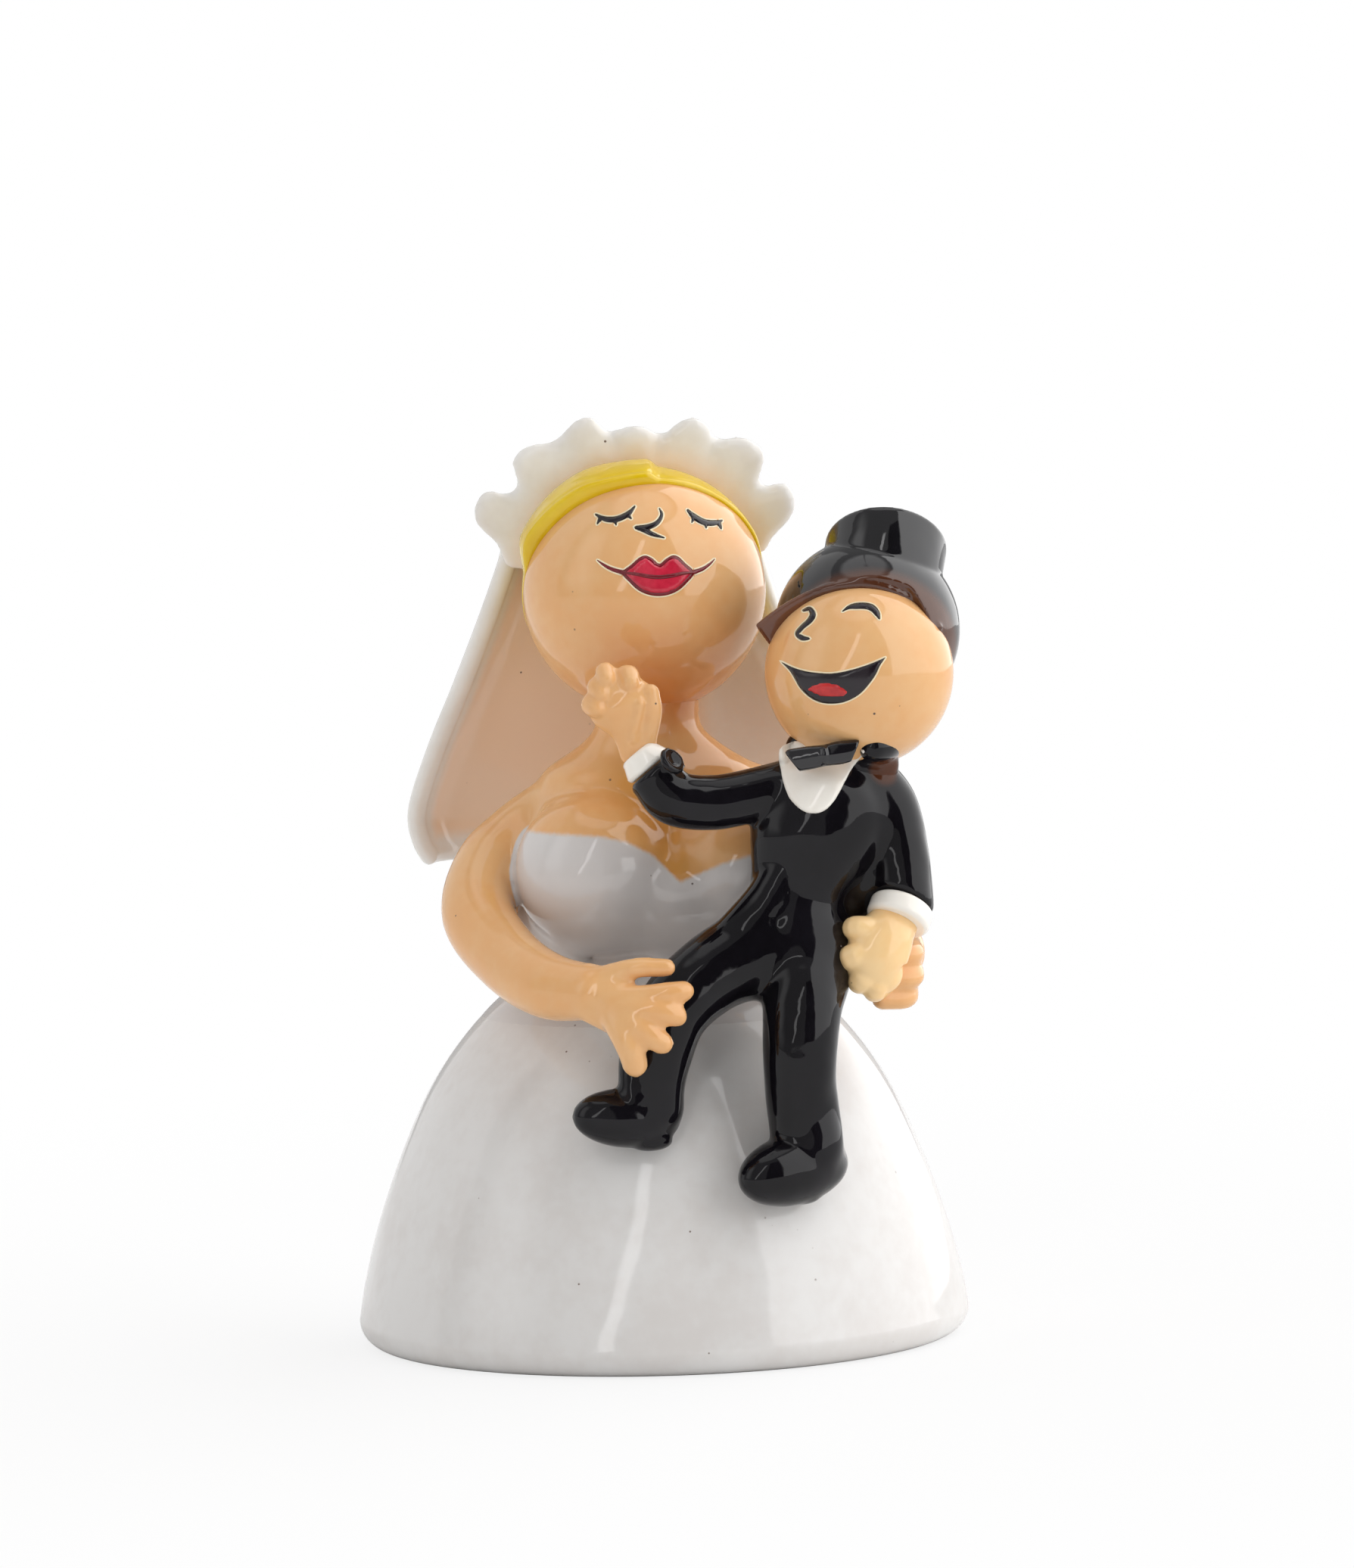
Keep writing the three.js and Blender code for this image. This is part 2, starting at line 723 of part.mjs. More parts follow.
/** The veil: a curved sheet that leaves the crown of the head and widens down to its hem. */
function veilForm(grow) {
  const column = (name, size) => veilShares.map((row) => row[name] * size);
  const heights = column("height", brideHeadRadius);
  const middles = column("middle", brideHeadRadius);
  const edges = column("edge", brideHeadRadius);
  const widths = column("wide", veilHalfWidth);
  const depths = column("deep", veilDepth);
  const surface = (u, v) => {
    const turn = (v - 0.5) * Math.PI;
    return new THREE.Vector3(
      valueAt(middles, u) + valueAt(widths, u) * Math.sin(turn),
      valueAt(edges, u) + valueAt(depths, u) * Math.cos(turn),
      valueAt(heights, u),
    ).add(brideHead);
  };
  return sheet(surface, veilThickness, veilShares.length + 1, veilColumns, grow);
}

// Where the parts of a hand lie: shares of the palm's length, and of its width for the thumb
const handShares = { palmReach: 0.52, knuckles: 0.25, thumb: 0.3, thumbAside: 0.42 };

/** The middle of a palm, which may lie off the way that the fingers point. */
function palmCentreOf(wrist, shape) {
  return beyond(wrist, way(shape.reachShares ?? shape.aimShares), shape.length * shape.reachShare);
}

/** A hand: a palm that runs on from the wrist, four fingers that fan and curl, and a thumb. */
function handForm(wrist, shape, grow) {
  const { width, length, fingerRadius, fingerLength } = shape;
  const aim = way(shape.aimShares);
  const backOf = way(shape.backShares);
  backOf.addScaledVector(aim, -backOf.dot(aim)).normalize();
  const aside = aim.clone().cross(backOf).multiplyScalar(shape.thumbSide);
  const halfThick = width * shape.thickShare;
  const palmCentre = palmCentreOf(wrist, shape);
  const halves = [length * handShares.palmReach, width / 2, halfThick];
  const palm = ellipsoid(palmCentre, aim, aside, halves, grow, limbSides);
  const stub = limb([wrist, palmCentre], [shape.wristRadius, halfThick], grow, { caps: smallCapSteps });
  const turned = (vector, axis, angle) => vector.clone().applyAxisAngle(axis, angle);
  const radii = [fingerRadius, fingerRadius, fingerRadius];
  const finger = (places) => limb(places, radii, grow, { steps: 1, sides: fingerSides, caps: smallCapSteps });
  const spacing = (width * shape.rowShare) / fingerPlaces.length;
  const fingers = fingerPlaces.map((offset) => {
    const fan = turned(aim, backOf, -offset * shape.spread * shape.thumbSide);
    const root = beyond(beyond(palmCentre, fan, length * handShares.knuckles), aside, offset * spacing);
    const hinge = fan.clone().cross(backOf).normalize();
    const middle = beyond(root, turned(fan, hinge, -shape.curl / 2), fingerLength / 2);
    const tip = beyond(middle, turned(fan, hinge, -shape.curl), fingerLength / 2);
    return finger([root, middle, tip]);
  });
  const thumbRoot = beyond(beyond(wrist, aim, length * handShares.thumb), aside, width * handShares.thumbAside);
  const thumbWay = turned(aim, backOf, -shape.thumbAngle * shape.thumbSide);
  const thumb = finger([palmCentre, thumbRoot, beyond(thumbRoot, thumbWay, shape.thumbLength)]);
  return join(palm, stub, thumb, ...fingers);
}

const fingerPlaces = [-1.5, -0.5, 0.5, 1.5]; // across the palm, from the little finger to the first
const bridePalm = {
  width: bridePalmWidth,
  length: bridePalmLength,
  fingerRadius: brideFingerRadius,
  fingerLength: brideFingerLength,
  thumbLength: brideThumbLength,
  wristRadius: brideWristRadius,
};
const groomPalm = {
  width: groomPalmWidth,
  length: groomPalmLength,
  fingerRadius: groomFingerRadius,
  fingerLength: groomFingerLength,
  thumbLength: groomThumbLength,
  wristRadius: groomWristRadius,
};
const hands = {
  brideRight: {
    ...bridePalm,
    aimShares: [0.85, -0.32, -0.57],
    reachShare: 0.55,
    backShares: [0, -1, 0],
    thickShare: 0.34,
    rowShare: 0.55,
    spread: degrees(31),
    curl: degrees(8),
    thumbAngle: degrees(34),
    thumbSide: -1,
  },
  brideLeft: {
    ...bridePalm,
    aimShares: [-0.1, -0.92, -0.3],
    reachShare: 0.55,
    backShares: [1, 0, 0],
    thickShare: 0.34,
    rowShare: 0.95,
    spread: degrees(6),
    curl: degrees(30),
    thumbAngle: degrees(30),
    thumbSide: 1,
  },
  groomRight: {
    ...groomPalm,
    aimShares: [-0.48, 0, 0.88],
    reachShares: [-0.29, 0, 0.95],
    reachShare: 0.57,
    backShares: [0.1, 1, 0],
    thickShare: 0.36,
    rowShare: 0.88,
    spread: degrees(5),
    curl: degrees(140),
    thumbAngle: degrees(40),
    thumbSide: -1,
  },
  groomLeft: {
    ...groomPalm,
    width: fistWidth,
    length: fistLength,
    aimShares: [-0.88, 0.1, -0.46],
    reachShares: [-0.55, -0.19, -0.81],
    reachShare: 0.59,
    backShares: [-0.1, -1, 0],
    thickShare: 0.42,
    rowShare: 1,
    spread: degrees(6),
    curl: degrees(150),
    thumbAngle: degrees(4),
    thumbSide: -1,
  },
};

/** The last place of a limb, where a hand or a shoe joins it. */
function endOf(name) {
  return placesOf(name).at(-1);
}

/** An arm, leg or sleeve from its table of places. */
function limbForm(name, radii, grow, options = {}) {
  return limb(placesOf(name), radii, grow, options);
}

// Groom

const groomNape = place(placeShares.groomNape);
const groomHead = beyond(place(placeShares.groomChin), up, groomHeadRadius);

/** The jacket and trousers' seat in one casting. */
function groomBodyForm(grow) {
  const radii = [
    groomHipRadius,
    groomHipRadius,
    groomWaistRadius,
    groomChestRadius,
    groomChestRadius,
    groomShoulderRadius,
  ];
  return limbForm("groomBody", radii, grow, { flat: back, flatShare: groomDepthShare, sides: roundSides });
}

/** A shoe: a long rounded toe, and a heel under the ankle. */
function shoeForm(legName, along, grow) {
  const ankle = endOf(legName);
  const { toe, size } = shoeShares[legName];
  const halfLength = shoeHalfLength * size;
  const halfHeight = shoeHalfHeight * size;
  const middle = beyond(beyond(ankle, along, halfLength * toe), up, -halfHeight);
  const heel = beyond(ankle, up, -2 * halfHeight + heelRadius / 2);
  const toeHalves = [halfLength, halfHeight, halfHeight];
  const heelHalves = [heelRadius, heelRadius, heelRadius / 2];
  return join(
    levelEllipsoid(middle, along, toeHalves, grow, roundSides),
    levelEllipsoid(heel, along, heelHalves, grow, limbSides),
    ball(beyond(ankle, up, -ankleRadius / 2), ankleRadius, grow, limbSides),
  );
}

/** A shirt cuff: a short collar of white round the wrist, with its edges rounded. */
function cuffForm(sleeveName, cuff, radius, grow) {
  const edge = radius - cuffRound;
  const start = seatGap;
  const profile = [
    [0, start],
    ...arc(edge, start + cuffRound, cuffRound, -Math.PI / 2, 0),
    ...arc(edge, start + cuffLength - cuffRound, cuffRound, 0, Math.PI / 2),
    [0, start + cuffLength],
  ];
  return grown(revolve(profile, endOf(sleeveName), way(wayShares[cuff])), grow);
}

/** A place near the groom's head, from its shares of the head's radius. */
function fromGroomHead(shares) {
  return new THREE.Vector3(...shares).multiplyScalar(groomHeadRadius).add(groomHead);
}

/** A place on the hat. */
function onHat(name) {
  return fromGroomHead(hatShares[name]);
}

/** The hat's crown: it widens from the dome to a flat top that leans further back, with a rounded edge. */
function crownForm(grow) {
  const ring = (centre, normal, radius) => {
    const wide = across.clone().addScaledVector(normal, -across.dot(normal)).normalize();
    const deep = normal.clone().cross(wide);
    return oval(centre, wide.multiplyScalar(radius + grow), deep.multiplyScalar(radius + grow), hatSides);
  };
  const foot = onHat("crownFoot");
  const footWay = way(wayShares.crownFoot);
  const topWay = way(wayShares.crownTop);
  const top = beyond(onHat("crownTop"), topWay, grow);
  const edge = arc(hatTopRadius - hatLip, -hatLip, hatLip, 0, Math.PI / 2);
  const lowest = beyond(foot, footWay, -hatCrownFoot);
  const rings = [
    ring(lowest, footWay, hatCrownRadius),
    ring(foot, footWay, hatCrownRadius),
    ...edge.map(([radius, height]) => ring(beyond(top, topWay, height), topWay, radius)),
  ];
  return skin(rings, lowest, top);
}

/** The hat's brim: a thin plate that runs out to a tip on each side. */
function brimForm(at, normal, grow) {
  const rise = across.clone().cross(normal);
  const ring = (edge, height) =>
    Array.from({ length: hatSides }, (_, i) => {
      const turn = (i / hatSides) * 2 * Math.PI;
      const slope = Math.sin(turn) * Math.abs(Math.sin(turn));
      const reach = slope > 0 ? hatBrimRise : hatBrimDrop;
      const out = beyond(at, across, (hatBrimHalfWidth + edge) * Math.cos(turn));
      return beyond(beyond(out, rise, (reach + edge) * slope), normal, height);
    });
  const thick = hatLip + grow;
  const rings = [ring(-hatLip, -thick), ring(grow, 0), ring(-hatLip, thick)];
  return skin(rings, beyond(at, normal, -thick), beyond(at, normal, thick));
}

/** The hat: a dome cut off by its brim's plane, the brim, and the crown. */
function hatForm(grow) {
  const brimWay = way(wayShares.hatBrim);
  const brim = onHat("brim");
  const keep = halfSpace(beyond(brim, brimWay, -grow), brimWay, 2 * hatDomeRadius);
  const dome = ball(onHat("dome"), hatDomeRadius, grow, hatSides).intersect(keep);
  return join(dome, brimForm(brim, brimWay, grow), crownForm(grow));
}

/** The jacket's collar: a roll round the neck, open under the chin. */
function collarForm(grow) {
  const half = degrees(collarHalfTurn);
  const places = Array.from({ length: collarSteps + 1 }, (_, i) => {
    const turn = -half + (2 * half * i) / collarSteps;
    const x = collarReach * Math.sin(turn);
    const y = collarReach * Math.cos(turn);
    return new THREE.Vector3(x, y, collarRise).add(groomNape);
  });
  const radii = places.map(() => collarRadius);
  return limb(places, radii, grow, { steps: 1, caps: smallCapSteps });
}

/** The shirt front: a thin piece that lies on the chest and runs down to a rounded point. */
function shirtForm(grow) {
  const shell = groomBodyForm(seatGap + shirtThickness + grow).subtract(groomBodyForm(seatGap));
  const outline = new THREE.Shape(
    shirtShares.map(([x, z]) => new THREE.Vector2(x * shirtWidth, z * shirtLength)),
  );
  const geometry = new THREE.ExtrudeGeometry(outline, { depth: groomChestRadius, bevelEnabled: false });
  geometry.rotateX(Math.PI / 2);
  const top = place(placeShares.shirtTop);
  geometry.translate(top.x, top.y + groomChestRadius, top.z);
  return shell.intersect(solid(geometry));
}

/** The bow tie: two wings that widen from a knot. */
function bowForm(grow) {
  const knot = fromGroomHead(bowKnotShares);
  const places = bowShares.map(([aside]) => beyond(knot, across, aside * bowWidth));
  const radii = bowShares.map(([, high]) => high * bowHeight);
  const flatShare = bowThickness / bowHeight;
  const wings = limb(places, radii, grow, { flat: back, flatShare, steps: 1, caps: smallCapSteps });
  return wings.add(ball(knot, bowThickness / 2, grow));
}

/** A sleeve, cut off square where its cuff comes out. */
function sleeveForm(name, radii, cuff, grow) {
  const out = way(wayShares[cuff]);
  const beyondEnd = halfSpace(beyond(endOf(name), out, grow), out, 4 * sleeveTopRadius);
  return limbForm(name, radii, grow).subtract(beyondEnd);
}

// Assembly: each piece in the order of casting and fitting, cut to fit the pieces fitted before it

const armRadii = [
  brideUpperArmRadius,
  brideUpperArmRadius,
  brideUpperArmRadius,
  brideUpperArmRadius,
  brideForearmRadius,
  brideForearmRadius,
  brideWristRadius,
];
const leftArmRadii = [
  brideUpperArmRadius,
  brideUpperArmRadius,
  brideUpperArmRadius,
  brideForearmRadius,
  brideWristRadius,
];
const legRadii = [groomHipRadius * groomDepthShare, thighRadius, kneeRadius, calfRadius, ankleRadius];
const rightSleeveRadii = [sleeveTopRadius, sleeveRadius, sleeveRadius, sleeveRadius, rightCuffRadius];
const leftSleeveRadii = [sleeveTopRadius, sleeveTopRadius, leftCuffRadius, leftCuffRadius];

const rightCuffEnd = beyond(endOf("groomRightSleeve"), way(wayShares.rightCuff), cuffLength + 2 * seatGap);
const leftCuffEnd = beyond(endOf("groomLeftSleeve"), way(wayShares.leftCuff), cuffLength + 2 * seatGap);

const pieces = [
  ["skirt", "base", "white", skirtForm],
  ["base_plate", "base", "white", basePlateForm],
  ["bride_torso", "bride", "skin", torsoForm],
  ["bride_head", "bride", "skin", (grow) => ball(brideHead, brideHeadRadius, grow, headSides)],
  ["bride_hair", "bride", "yellow", hairForm],
  ["groom_head", "groom", "skin", (grow) => ball(groomHead, groomHeadRadius, grow, headSides)],
  ["groom_body", "groom", "black", groomBodyForm],
  ["bride_right_arm", "bride", "skin", (grow) => limbForm("brideRightArm", armRadii, grow)],
  ["bride_left_arm", "bride", "skin", (grow) => limbForm("brideLeftArm", leftArmRadii, grow)],
  ["groom_right_leg", "groom", "black", (grow) => limbForm("groomRightLeg", legRadii, grow)],
  ["groom_left_leg", "groom", "black", (grow) => limbForm("groomLeftLeg", legRadii, grow)],
  ["groom_right_shoe", "groom", "black", (grow) => shoeForm("groomRightLeg", way(wayShares.rightShoe), grow)],
  ["groom_left_shoe", "groom", "black", (grow) => shoeForm("groomLeftLeg", way(wayShares.leftShoe), grow)],
  ["groom_right_sleeve", "groom", "black", (grow) => sleeveForm("groomRightSleeve", rightSleeveRadii, "rightCuff", grow)],
  ["groom_left_sleeve", "groom", "black", (grow) => sleeveForm("groomLeftSleeve", leftSleeveRadii, "leftCuff", grow)],
  ["groom_right_cuff", "groom", "white", (grow) => cuffForm("groomRightSleeve", "rightCuff", rightCuffRadius, grow)],
  ["groom_left_cuff", "groom", "white", (grow) => cuffForm("groomLeftSleeve", "leftCuff", leftCuffRadius, grow)],
  ["groom_right_hand", "groom", "skin", (grow) => handForm(rightCuffEnd, hands.groomRight, grow)],
  ["groom_left_hand", "groom", "skin", (grow) => handForm(leftCuffEnd, hands.groomLeft, grow)],
  ["bride_right_hand", "bride", "skin", (grow) => handForm(endOf("brideRightArm"), hands.brideRight, grow)],
  ["bride_left_hand", "bride", "skin", (grow) => handForm(endOf("brideLeftArm"), hands.brideLeft, grow)],
  ["groom_collar", "groom", "black", collarForm],
  ["groom_shirt_front", "groom", "white", shirtForm],
  ["groom_bow_tie", "groom", "black", bowForm],
  ["groom_hat", "groom", "black", hatForm],
  ["veil_headpiece", "bride", "white", headpieceForm],
  ["veil", "bride", "white", veilForm],
];

/** The biggest body of a solid, without the crumbs that a cut can leave. */
function mainBody(made) {
  return made.decompose().reduce((a, b) => (b.volume() > a.volume() ? b : a));
}

const fitted = new Map();
pieces.forEach(([name, , , form], i) => {
  const shape = pieces.slice(0, i).reduce((left, [, , , earlier]) => left.subtract(earlier(seatGap)), form(0));
  fitted.set(name, mainBody(shape));
});

/** A peg cast on one piece, from a place inside it to a place inside its neighbour, and its socket. */
function addPeg(owner, from, to) {
  const hole = rod(from, beyond(to, to.clone().sub(from).normalize(), pegClearance), pegRadius + pegClearance);
  for (const [name, made] of fitted) {
    if (name !== owner) fitted.set(name, made.subtract(hole));
  }
  fitted.set(owner, fitted.get(owner).add(rod(from, to, pegRadius)));
}

/** A peg across the seam of a limb that starts inside its neighbour. */
function addLimbPeg(owner, limbName) {
  const [inner, outer] = placesOf(limbName);
  const seam = inner.clone().lerp(outer, seamShares[limbName]);
  const inward = inner.clone().sub(outer).normalize();
  addPeg(owner, beyond(seam, inward, -pegReach), beyond(seam, inward, pegReach));
}

/** A peg from the palm of a hand, through the cuff if there is one, into its arm or sleeve. */
function addHandPeg(owner, limbName, wrist, shape) {
  const [before, end] = placesOf(limbName).slice(-2);
  addPeg(owner, palmCentreOf(wrist, shape), beyond(end, before.clone().sub(end).normalize(), pegReach));
}

addLimbPeg("bride_right_arm", "brideRightArm");
addLimbPeg("bride_left_arm", "brideLeftArm");
addLimbPeg("groom_right_leg", "groomRightLeg");
addLimbPeg("groom_left_leg", "groomLeftLeg");
addLimbPeg("groom_right_sleeve", "groomRightSleeve");
addHandPeg("bride_right_hand", "brideRightArm", endOf("brideRightArm"), hands.brideRight);
addHandPeg("bride_left_hand", "brideLeftArm", endOf("brideLeftArm"), hands.brideLeft);
addHandPeg("groom_right_hand", "groomRightSleeve", rightCuffEnd, hands.groomRight);
addHandPeg("groom_left_hand", "groomLeftSleeve", leftCuffEnd, hands.groomLeft);
addPeg("groom_head", beyond(groomNape, up, pegReach), beyond(groomNape, up, -pegReach));
const leftShoulder = place(placeShares.leftShoulderSeam);
addPeg("groom_left_sleeve", beyond(leftShoulder, across, pegReach), beyond(leftShoulder, across, -pegReach));

const base = new THREE.Group();
const bride = new THREE.Group();
const groom = new THREE.Group();
const couple = new THREE.Group().add(bride, groom);
couple.position.z = skirtHeight;
const groups = { base, bride, groom };

for (const [name, group, colour] of pieces) {
  const { vertProperties, triVerts, numProp } = fitted.get(name).getMesh();
  const geometry = new THREE.BufferGeometry();
  const corners = new THREE.InterleavedBuffer(vertProperties, numProp);
  geometry.setAttribute("position", new THREE.InterleavedBufferAttribute(corners, 3, 0));
  geometry.setIndex(new THREE.BufferAttribute(triVerts, 1));
  if (group !== "base") geometry.translate(0, 0, -skirtHeight);
  const mesh = new THREE.Mesh(geometry, new THREE.MeshStandardMaterial({ ...glaze[colour], metalness: 0 }));
  mesh.name = name;
  groups[group].add(mesh);
}

export default new THREE.Group().add(base, couple);
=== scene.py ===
"""Dresses the wedding cake topper: a bride who carries her groom, cast in clay and glazed all over.

Sizes are in millimetres in the frame of the castings: +Z up, the couple faces -Y, and the origin is the
middle of the flat underside. A mesh is turned to metres when it becomes an object.
"""
import logging
import math
from dataclasses import dataclass
from enum import Enum
from typing import Callable, Iterable, Sequence

import bmesh
import bpy
import numpy as np
from mathutils import Matrix, Vector
from mathutils.bvhtree import BVHTree
from mathutils.geometry import delaunay_2d_cdt


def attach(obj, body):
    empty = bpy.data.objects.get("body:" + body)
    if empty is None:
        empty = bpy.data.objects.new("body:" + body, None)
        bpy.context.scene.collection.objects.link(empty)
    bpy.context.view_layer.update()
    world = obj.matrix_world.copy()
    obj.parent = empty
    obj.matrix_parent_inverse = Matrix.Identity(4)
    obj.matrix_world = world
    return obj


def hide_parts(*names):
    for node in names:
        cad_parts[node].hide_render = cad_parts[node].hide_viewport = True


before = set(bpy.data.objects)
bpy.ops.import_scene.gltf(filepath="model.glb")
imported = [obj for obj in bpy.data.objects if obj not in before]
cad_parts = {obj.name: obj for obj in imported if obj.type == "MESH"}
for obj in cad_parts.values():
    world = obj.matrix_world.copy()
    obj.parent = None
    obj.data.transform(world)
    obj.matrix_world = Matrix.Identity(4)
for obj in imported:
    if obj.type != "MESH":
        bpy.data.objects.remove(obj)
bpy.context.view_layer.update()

logging.basicConfig(level=logging.INFO, format="%(message)s")
log = logging.getLogger("topper")

Place = tuple[float, float, float]
Flat = tuple[float, float]
Spot = tuple[Place, float]
Colour = tuple[float, float, float, float]

MILLIMETRE = 0.001
SKIRT_HEIGHT = 62.0
COUPLE_HEIGHT = 88.0
SEAT_GAP = 0.3
RIGHT = (1.0, 0.0, 0.0)
BACK = (0.0, 1.0, 0.0)
UP = (0.0, 0.0, 1.0)
WHITE = (1.0, 1.0, 1.0, 1.0)


def share_place(shares: Place) -> np.ndarray:
    """A place on the couple, in millimetres, from its shares of the couple's height."""
    return np.array(shares) * COUPLE_HEIGHT + np.array((0.0, 0.0, SKIRT_HEIGHT))


def share_path(rows: Iterable[Place]) -> list[np.ndarray]:
    """Several places on the couple, from their shares."""
    return [share_place(shares) for shares in rows]


def unit(vector: Sequence[float]) -> np.ndarray:
    """The unit vector along a vector."""
    found = np.array(vector, float)
    return found / np.linalg.norm(found)


def units(rows: np.ndarray) -> np.ndarray:
    """The unit vector along each row."""
    return rows / np.linalg.norm(rows, axis=1)[:, None]


def ramp(values: np.ndarray, start: float, end: float) -> np.ndarray:
    """A smooth step from 0 at the start to 1 at the end."""
    t = np.clip((values - start) / (end - start), 0, 1)
    return t * t * (3 - 2 * t)


def round_over(edge: np.ndarray, reach: float) -> np.ndarray:
    """How far a face has risen at each distance from its edge, by a quarter circle from 0 to 1."""
    return np.sqrt(np.clip(1 - (1 - np.minimum(edge / reach, 1)) ** 2, 0, 1))


def value_at(values: Sequence[float], share: np.ndarray) -> np.ndarray:
    """Reads a smooth curve through equally spaced numbers.

    Args:
        values: the numbers that the curve passes through.
        share: how far along the list to read, from 0 to 1.

    Returns:
        The curve's values, one for each share.
    """
    table = np.asarray(values, float)
    last = len(table) - 1
    spot = np.asarray(share, float) * last
    i = np.clip(np.floor(spot).astype(int), 0, last - 1)
    t = spot - i
    before, here, there, after = (table[np.clip(i + k, 0, last)] for k in (-1, 0, 1, 2))
    leaving, arriving, rise = (there - before) / 2, (after - here) / 2, there - here
    return here + t * (leaving + t * (3 * rise - 2 * leaving - arriving + t * (leaving + arriving - 2 * rise)))


def smooth_path(places: Sequence[Sequence[float]], steps: int, closed: bool = False) -> np.ndarray:
    """A smooth curve through places, in any number of dimensions.

    Args:
        places: the places that it passes through.
        steps: how many points to make for each stretch between two places.
        closed: whether the last place joins the first.

    Returns:
        The curve's points, one a row.
    """
    table = np.array(places, float)
    if closed:
        table = np.vstack([table[-1:], table, table[:2]])
    else:
        table = np.vstack([2 * table[:1] - table[1:2], table, 2 * table[-1:] - table[-2:-1]])
    found = []
    for a, b, c, d in zip(table, table[1:], table[2:], table[3:]):
        first, middle, last = (max(np.linalg.norm(q - p), 1e-6) ** 0.5 for p, q in ((a, b), (b, c), (c, d)))
        leave = ((b - a) / first - (c - a) / (first + middle) + (c - b) / middle) * middle
        arrive = ((c - b) / middle - (d - b) / (middle + last) + (d - c) / last) * middle
        rise = c - b
        for t in np.arange(steps) / steps:
            found.append(b + t * (leave + t * (3 * rise - 2 * leave - arrive + t * (leave + arrive - 2 * rise))))
    if not closed:
        found.append(table[-2])
    return np.array(found)


@dataclass
class Form:
    """A closed surface in millimetres: its points, and its faces as lists of point numbers."""

    points: np.ndarray
    faces: list[tuple[int, ...]]

    def add_to(self, build: bmesh.types.BMesh, scale: float = 1.0) -> None:
        """Adds the surface to a mesh that is being built.

        Args:
            build: the mesh.
            scale: what its places are multiplied by.
        """
        corners = [build.verts.new(p * scale) for p in self.points]
        for face in self.faces:
            build.faces.new([corners[i] for i in face])

    def trimmed(self, at: np.ndarray, normal: np.ndarray) -> "Form":
        """Cuts off what lies beyond a plane, and closes the cut.

        Args:
            at: a place on the plane.
            normal: the way in which material is cut away.

        Returns:
            The surface that is left.
        """
        build = bmesh.new()
        self.add_to(build)
        everything = build.verts[:] + build.edges[:] + build.faces[:]
        bmesh.ops.bisect_plane(build, geom=everything, plane_co=at, plane_no=normal, clear_outer=True)
        bmesh.ops.holes_fill(build, edges=[e for e in build.edges if e.is_boundary])
        build.verts.index_update()
        left = Form(np.array([v.co[:] for v in build.verts]), [tuple(v.index for v in f.verts) for f in build.faces])
        build.free()
        return left


def skin(rings: Sequence[np.ndarray], first: np.ndarray, last: np.ndarray) -> Form:
    """Skins rings of points, all of one count, into a closed surface with a pole at each end.

    Args:
        rings: the rings, in order.
        first: the pole before the first ring.
        last: the pole after the last.

    Returns:
        The closed surface.
    """
    count = len(rings[0])
    points = np.vstack([first[None], *rings, last[None]])
    end = len(points) - 1
    at = lambda ring, i: 1 + ring * count + i % count
    faces: list[tuple[int, ...]] = []
    for i in range(count):
        faces.append((0, at(0, i + 1), at(0, i)))
        faces.append((end, at(len(rings) - 1, i), at(len(rings) - 1, i + 1)))
        for ring in range(len(rings) - 1):
            faces.append((at(ring, i), at(ring, i + 1), at(ring + 1, i + 1), at(ring + 1, i)))
    return Form(points, faces)


def looped(rows: int, columns: int) -> list[tuple[int, ...]]:
    """The faces of a grid of points that closes on itself both ways."""
    at = lambda i, j: (i % rows) * columns + j % columns
    return [(at(i, j), at(i, j + 1), at(i + 1, j + 1), at(i + 1, j)) for i in range(rows) for j in range(columns)]


def slab(top: np.ndarray, low: np.ndarray, faces: Sequence[Sequence[int]]) -> Form:
    """Closes two like faces, one above the other, into one surface.

    Args:
        top: the points of the one face.
        low: the points of the other, in the same order.
        faces: the small faces that both are made of.

    Returns:
        The closed surface.
    """
    total = len(top)
    shell = [tuple(f) for f in faces]
    shell += [(total + f[0], *(total + i for i in reversed(f[1:]))) for f in faces]
    edges = dict.fromkeys((a, b) for f in faces for a, b in zip(f, [*f[1:], f[0]]))
    shell += [(a, total + a, total + b, b) for a, b in edges if (b, a) not in edges]
    return Form(np.vstack([top, low]), shell)


def oval(centre: np.ndarray, wide: np.ndarray, deep: np.ndarray, count: int) -> np.ndarray:
    """Points of an oval about a centre, from two half-axis vectors."""
    turn = np.linspace(0, 2 * math.pi, count, endpoint=False)[:, None]
    return centre + np.cos(turn) * wide + np.sin(turn) * deep


